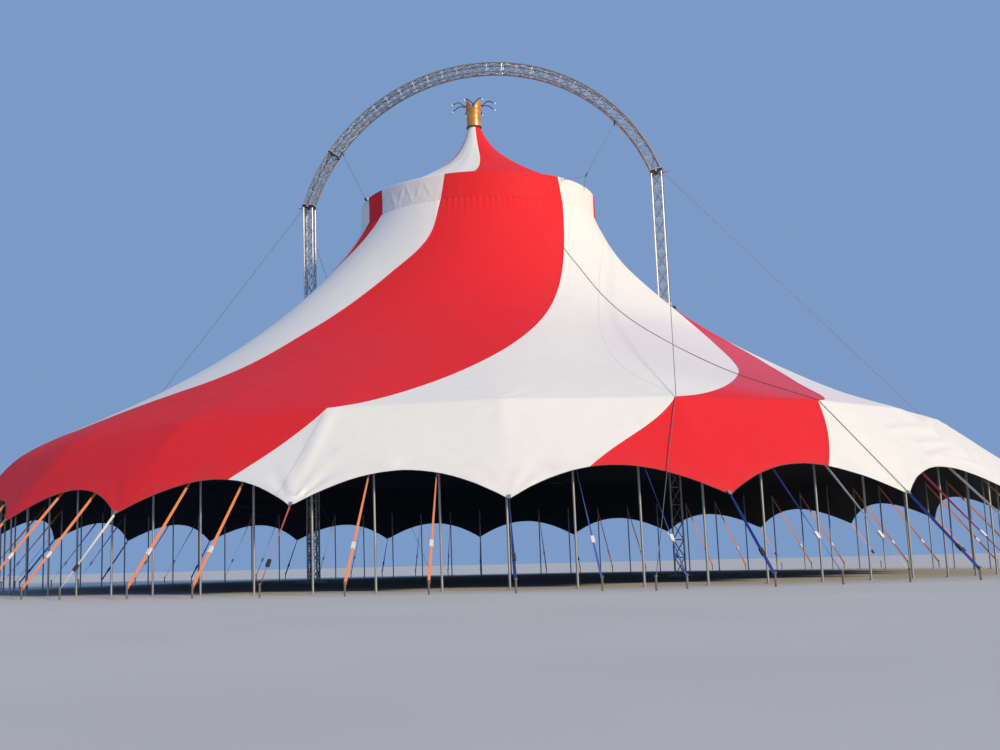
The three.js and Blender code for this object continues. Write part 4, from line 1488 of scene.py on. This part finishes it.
# %% [markdown]
# ## Side poles, straps and stakes
# Three short poles a bay hold the canvas up just inside its edge. Webbing straps in odd
# colours, as they were bought over the years, tie the pole heads between the tips, and the
# tips themselves, down to stakes. The poles could be copies of one object, but their heads
# follow the roof, so one loop makes them all, three bays to a piece like the measured model.

# %% Side poles
POLES_PER_BAY = 3
POLE_ROUND = 14.88
POLE = 0.024
STAKE_RADIUS = 17.15
TIP_STAKE_RADIUS = 17.40
SETS = 8
STRAP_WIDTH = 0.055
STRAP_THICK = 0.004
POLE_TWIST, TIP_TWIST = 60, -50
FIRST_BLUE = -81
ODD_STRAPS = {
    -108.75: white_strap,
    -93.75: red_strap,
    -53.75: white_strap,
    -43.75: red_strap,
    -38.75: white_strap,
}


def head_height(angle):
    inner = canvas(angle, 1).xy.length
    outer = TIP_RADIUS + (SCALLOP_RADIUS - TIP_RADIUS) * scallop(angle)
    return canvas(angle, 1 + (POLE_ROUND - inner) / (outer - inner)).z


def strap_finish(angle):
    """Orange on the left of each half, blue on the right, and a few odd ones."""
    front = -((-angle) % 180)
    return ODD_STRAPS.get(round(front, 2), orange_strap if front < FIRST_BLUE else blue_strap)


def strap(stock, start, end, finish, buckle, twist):
    """A strap that twists on its way down, with its buckle or sleeve low on it."""
    stock.ribbon(straight(start, end, 12), STRAP_WIDTH, STRAP_THICK, finish, twist=twist)
    low = end.lerp(start, 0.28)
    along = (start - end).normalized()
    side = along.cross(Vector((0, 0, 1))).normalized()
    stock.box(low, (0.065, 0.05, 0.16), buckle, axes=(side, side.cross(along), along))


def side_poles(number):
    poles = Stock(galvanised)
    start = FIRST_TIP + (number - 1) * 3 * BAY
    for i in range(3 * POLES_PER_BAY):
        angle = start + i * BAY / POLES_PER_BAY
        top = head_height(angle) - 0.03
        line = [at(angle, POLE_ROUND, z) for z in (0, 0.012, 0.0121, top - 0.05, top - 0.049, top)]
        poles.tube(line, [0.06, 0.06, POLE, POLE, 0.012, 0.012], sides=12)
        if i % POLES_PER_BAY:
            head = at(angle, POLE_ROUND + POLE, top - 0.12)
            peg = at(angle, STAKE_RADIUS, 0.2)
            strap(poles, head, peg, strap_finish(angle), white_strap, POLE_TWIST)
            add_stake(poles, angle, STAKE_RADIUS)
    poles.piece(f"side_pole_set_{number}", "galvanised_steel", f"side_poles_{number}")


for number in range(1, SETS + 1):
    side_poles(number)

# %% [markdown]
# ## The scalloped edge
# A band is sewn into the edge of the cloth. It is drawn near-black, which is painted shade: it
# stands for the dark line of the tent's shaded inside just under the edge. At each tip it meets a
# metal plate, from which a strap runs down and out to a stake, and that pull gives the edge its
# scallops. The band is a flat strip along the very line where the cloth ends, its wrinkles too,
# so the two never part.

# %% Edge ties
HEM = 0.010
HEM_THICK = 0.014
HEM_STEPS = 20
TIP_PLATE = 0.07


def edge_ties(number):
    # The edge band is near-black, painted shade.
    ties = Stock(painted_shade_hem)
    start = FIRST_TIP + (number - 1) * 3 * BAY
    line = []
    for i in range(3 * HEM_STEPS + 1):
        angle = start + i * BAY / HEM_STEPS
        line.append(over_canvas(angle, 2, wrinkle(angle, 2) - CLOTH / 2))
    ties.ribbon(line, HEM, HEM_THICK, hint=Vector((0, 0, 1)))
    for i in range(3):
        angle = start + i * BAY
        tip = at(angle, TIP_RADIUS + 0.01, TIP_HEIGHT - 0.01)
        peg = at(angle, TIP_STAKE_RADIUS, 0.2)
        strap(ties, tip, peg, strap_finish(angle), dark_steel, TIP_TWIST)
        down = (canvas(angle, 2) - canvas(angle, 1.9)).normalized()
        side = at(angle + 90, 1, 0)
        eye = over_canvas(angle, 1.985, 0.02)
        plate = (TIP_PLATE, 1.4 * TIP_PLATE, 0.008)
        ties.box(eye, plate, galvanised, axes=(side, down, side.cross(down)))
        add_stake(ties, angle, TIP_STAKE_RADIUS)
    ties.piece(f"edge_tie_set_{number}", "webbing", f"edge_ties_{number}")


for number in range(1, SETS + 1):
    edge_ties(number)

# %% [markdown]
# ## Floor and light
# A pale floor and a soft low light from the front right, with a cool even fill, show the cloth
# the way low sun does: the drop below the knee is bright and the flat roof above it is calm.
# Lamps near the tent would fade across its 35 m, so one sun lamp and a plain world do it.

# %% Stage
def pale_floor():
    ground = Finish("pale_floor", Specular_IOR_Level=0.2)
    tone = ground.grain(0.25, detail=4).between(0.3, 0.7)
    return ground.dress(
        Base_Color=ground.mix(tone, (0.56, 0.56, 0.555, 1), (0.60, 0.60, 0.595, 1)),
        Roughness=0.85 + tone * 0.05,
    )


FLOOR_REACH = 300
FLOOR_SIDES = 72
floor_points = [at(360 * k / FLOOR_SIDES, FLOOR_REACH, 0) for k in range(FLOOR_SIDES)]
floor_mesh = bpy.data.meshes.new("floor")
floor_mesh.from_pydata(floor_points, [], [list(range(FLOOR_SIDES))])
floor_mesh.materials.append(pale_floor())
floor = bpy.data.objects.new("floor", floor_mesh)
bpy.context.scene.collection.objects.link(floor)
floor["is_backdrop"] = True

print("floor", 2 * FLOOR_REACH, "m wide")

# %% Light
SUN_FROM = -35
SUN_HEIGHT = 25
SUN_ENERGY = 3.35
SUN_COLOUR = (1.0, 0.79, 0.51)
FILL_COLOUR = (0.20, 0.325, 0.57, 1)
key = bpy.data.objects.new("key_light", bpy.data.lights.new("key_light", "SUN"))
key.data.energy = SUN_ENERGY
key.data.angle = math.radians(8)
key.data.color = SUN_COLOUR
key.rotation_euler = (-turned(SUN_FROM, SUN_HEIGHT)).to_track_quat("-Z", "Y").to_euler()
bpy.context.scene.collection.objects.link(key)

world = bpy.data.worlds.new("studio")
world.use_nodes = True
world.node_tree.nodes["Background"].inputs["Color"].default_value = FILL_COLOUR
world.node_tree.nodes["Background"].inputs["Strength"].default_value = 1.0
bpy.context.scene.world = world
bpy.context.scene.view_settings.view_transform = "Standard"
print("light from", SUN_FROM, "degrees,", SUN_HEIGHT, "up")

# %% [markdown]
# ## The two sizes
# The dressed tent may not be bigger than the measured model, apart from a little for the cloth.
# The box of the measured model and the box of the dressed tent are set side by side.

# %% Finish
boxes = {"cad": frame_box, "visual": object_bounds()}
{name: [list(corner) for corner in box] for name, box in boxes.items()}
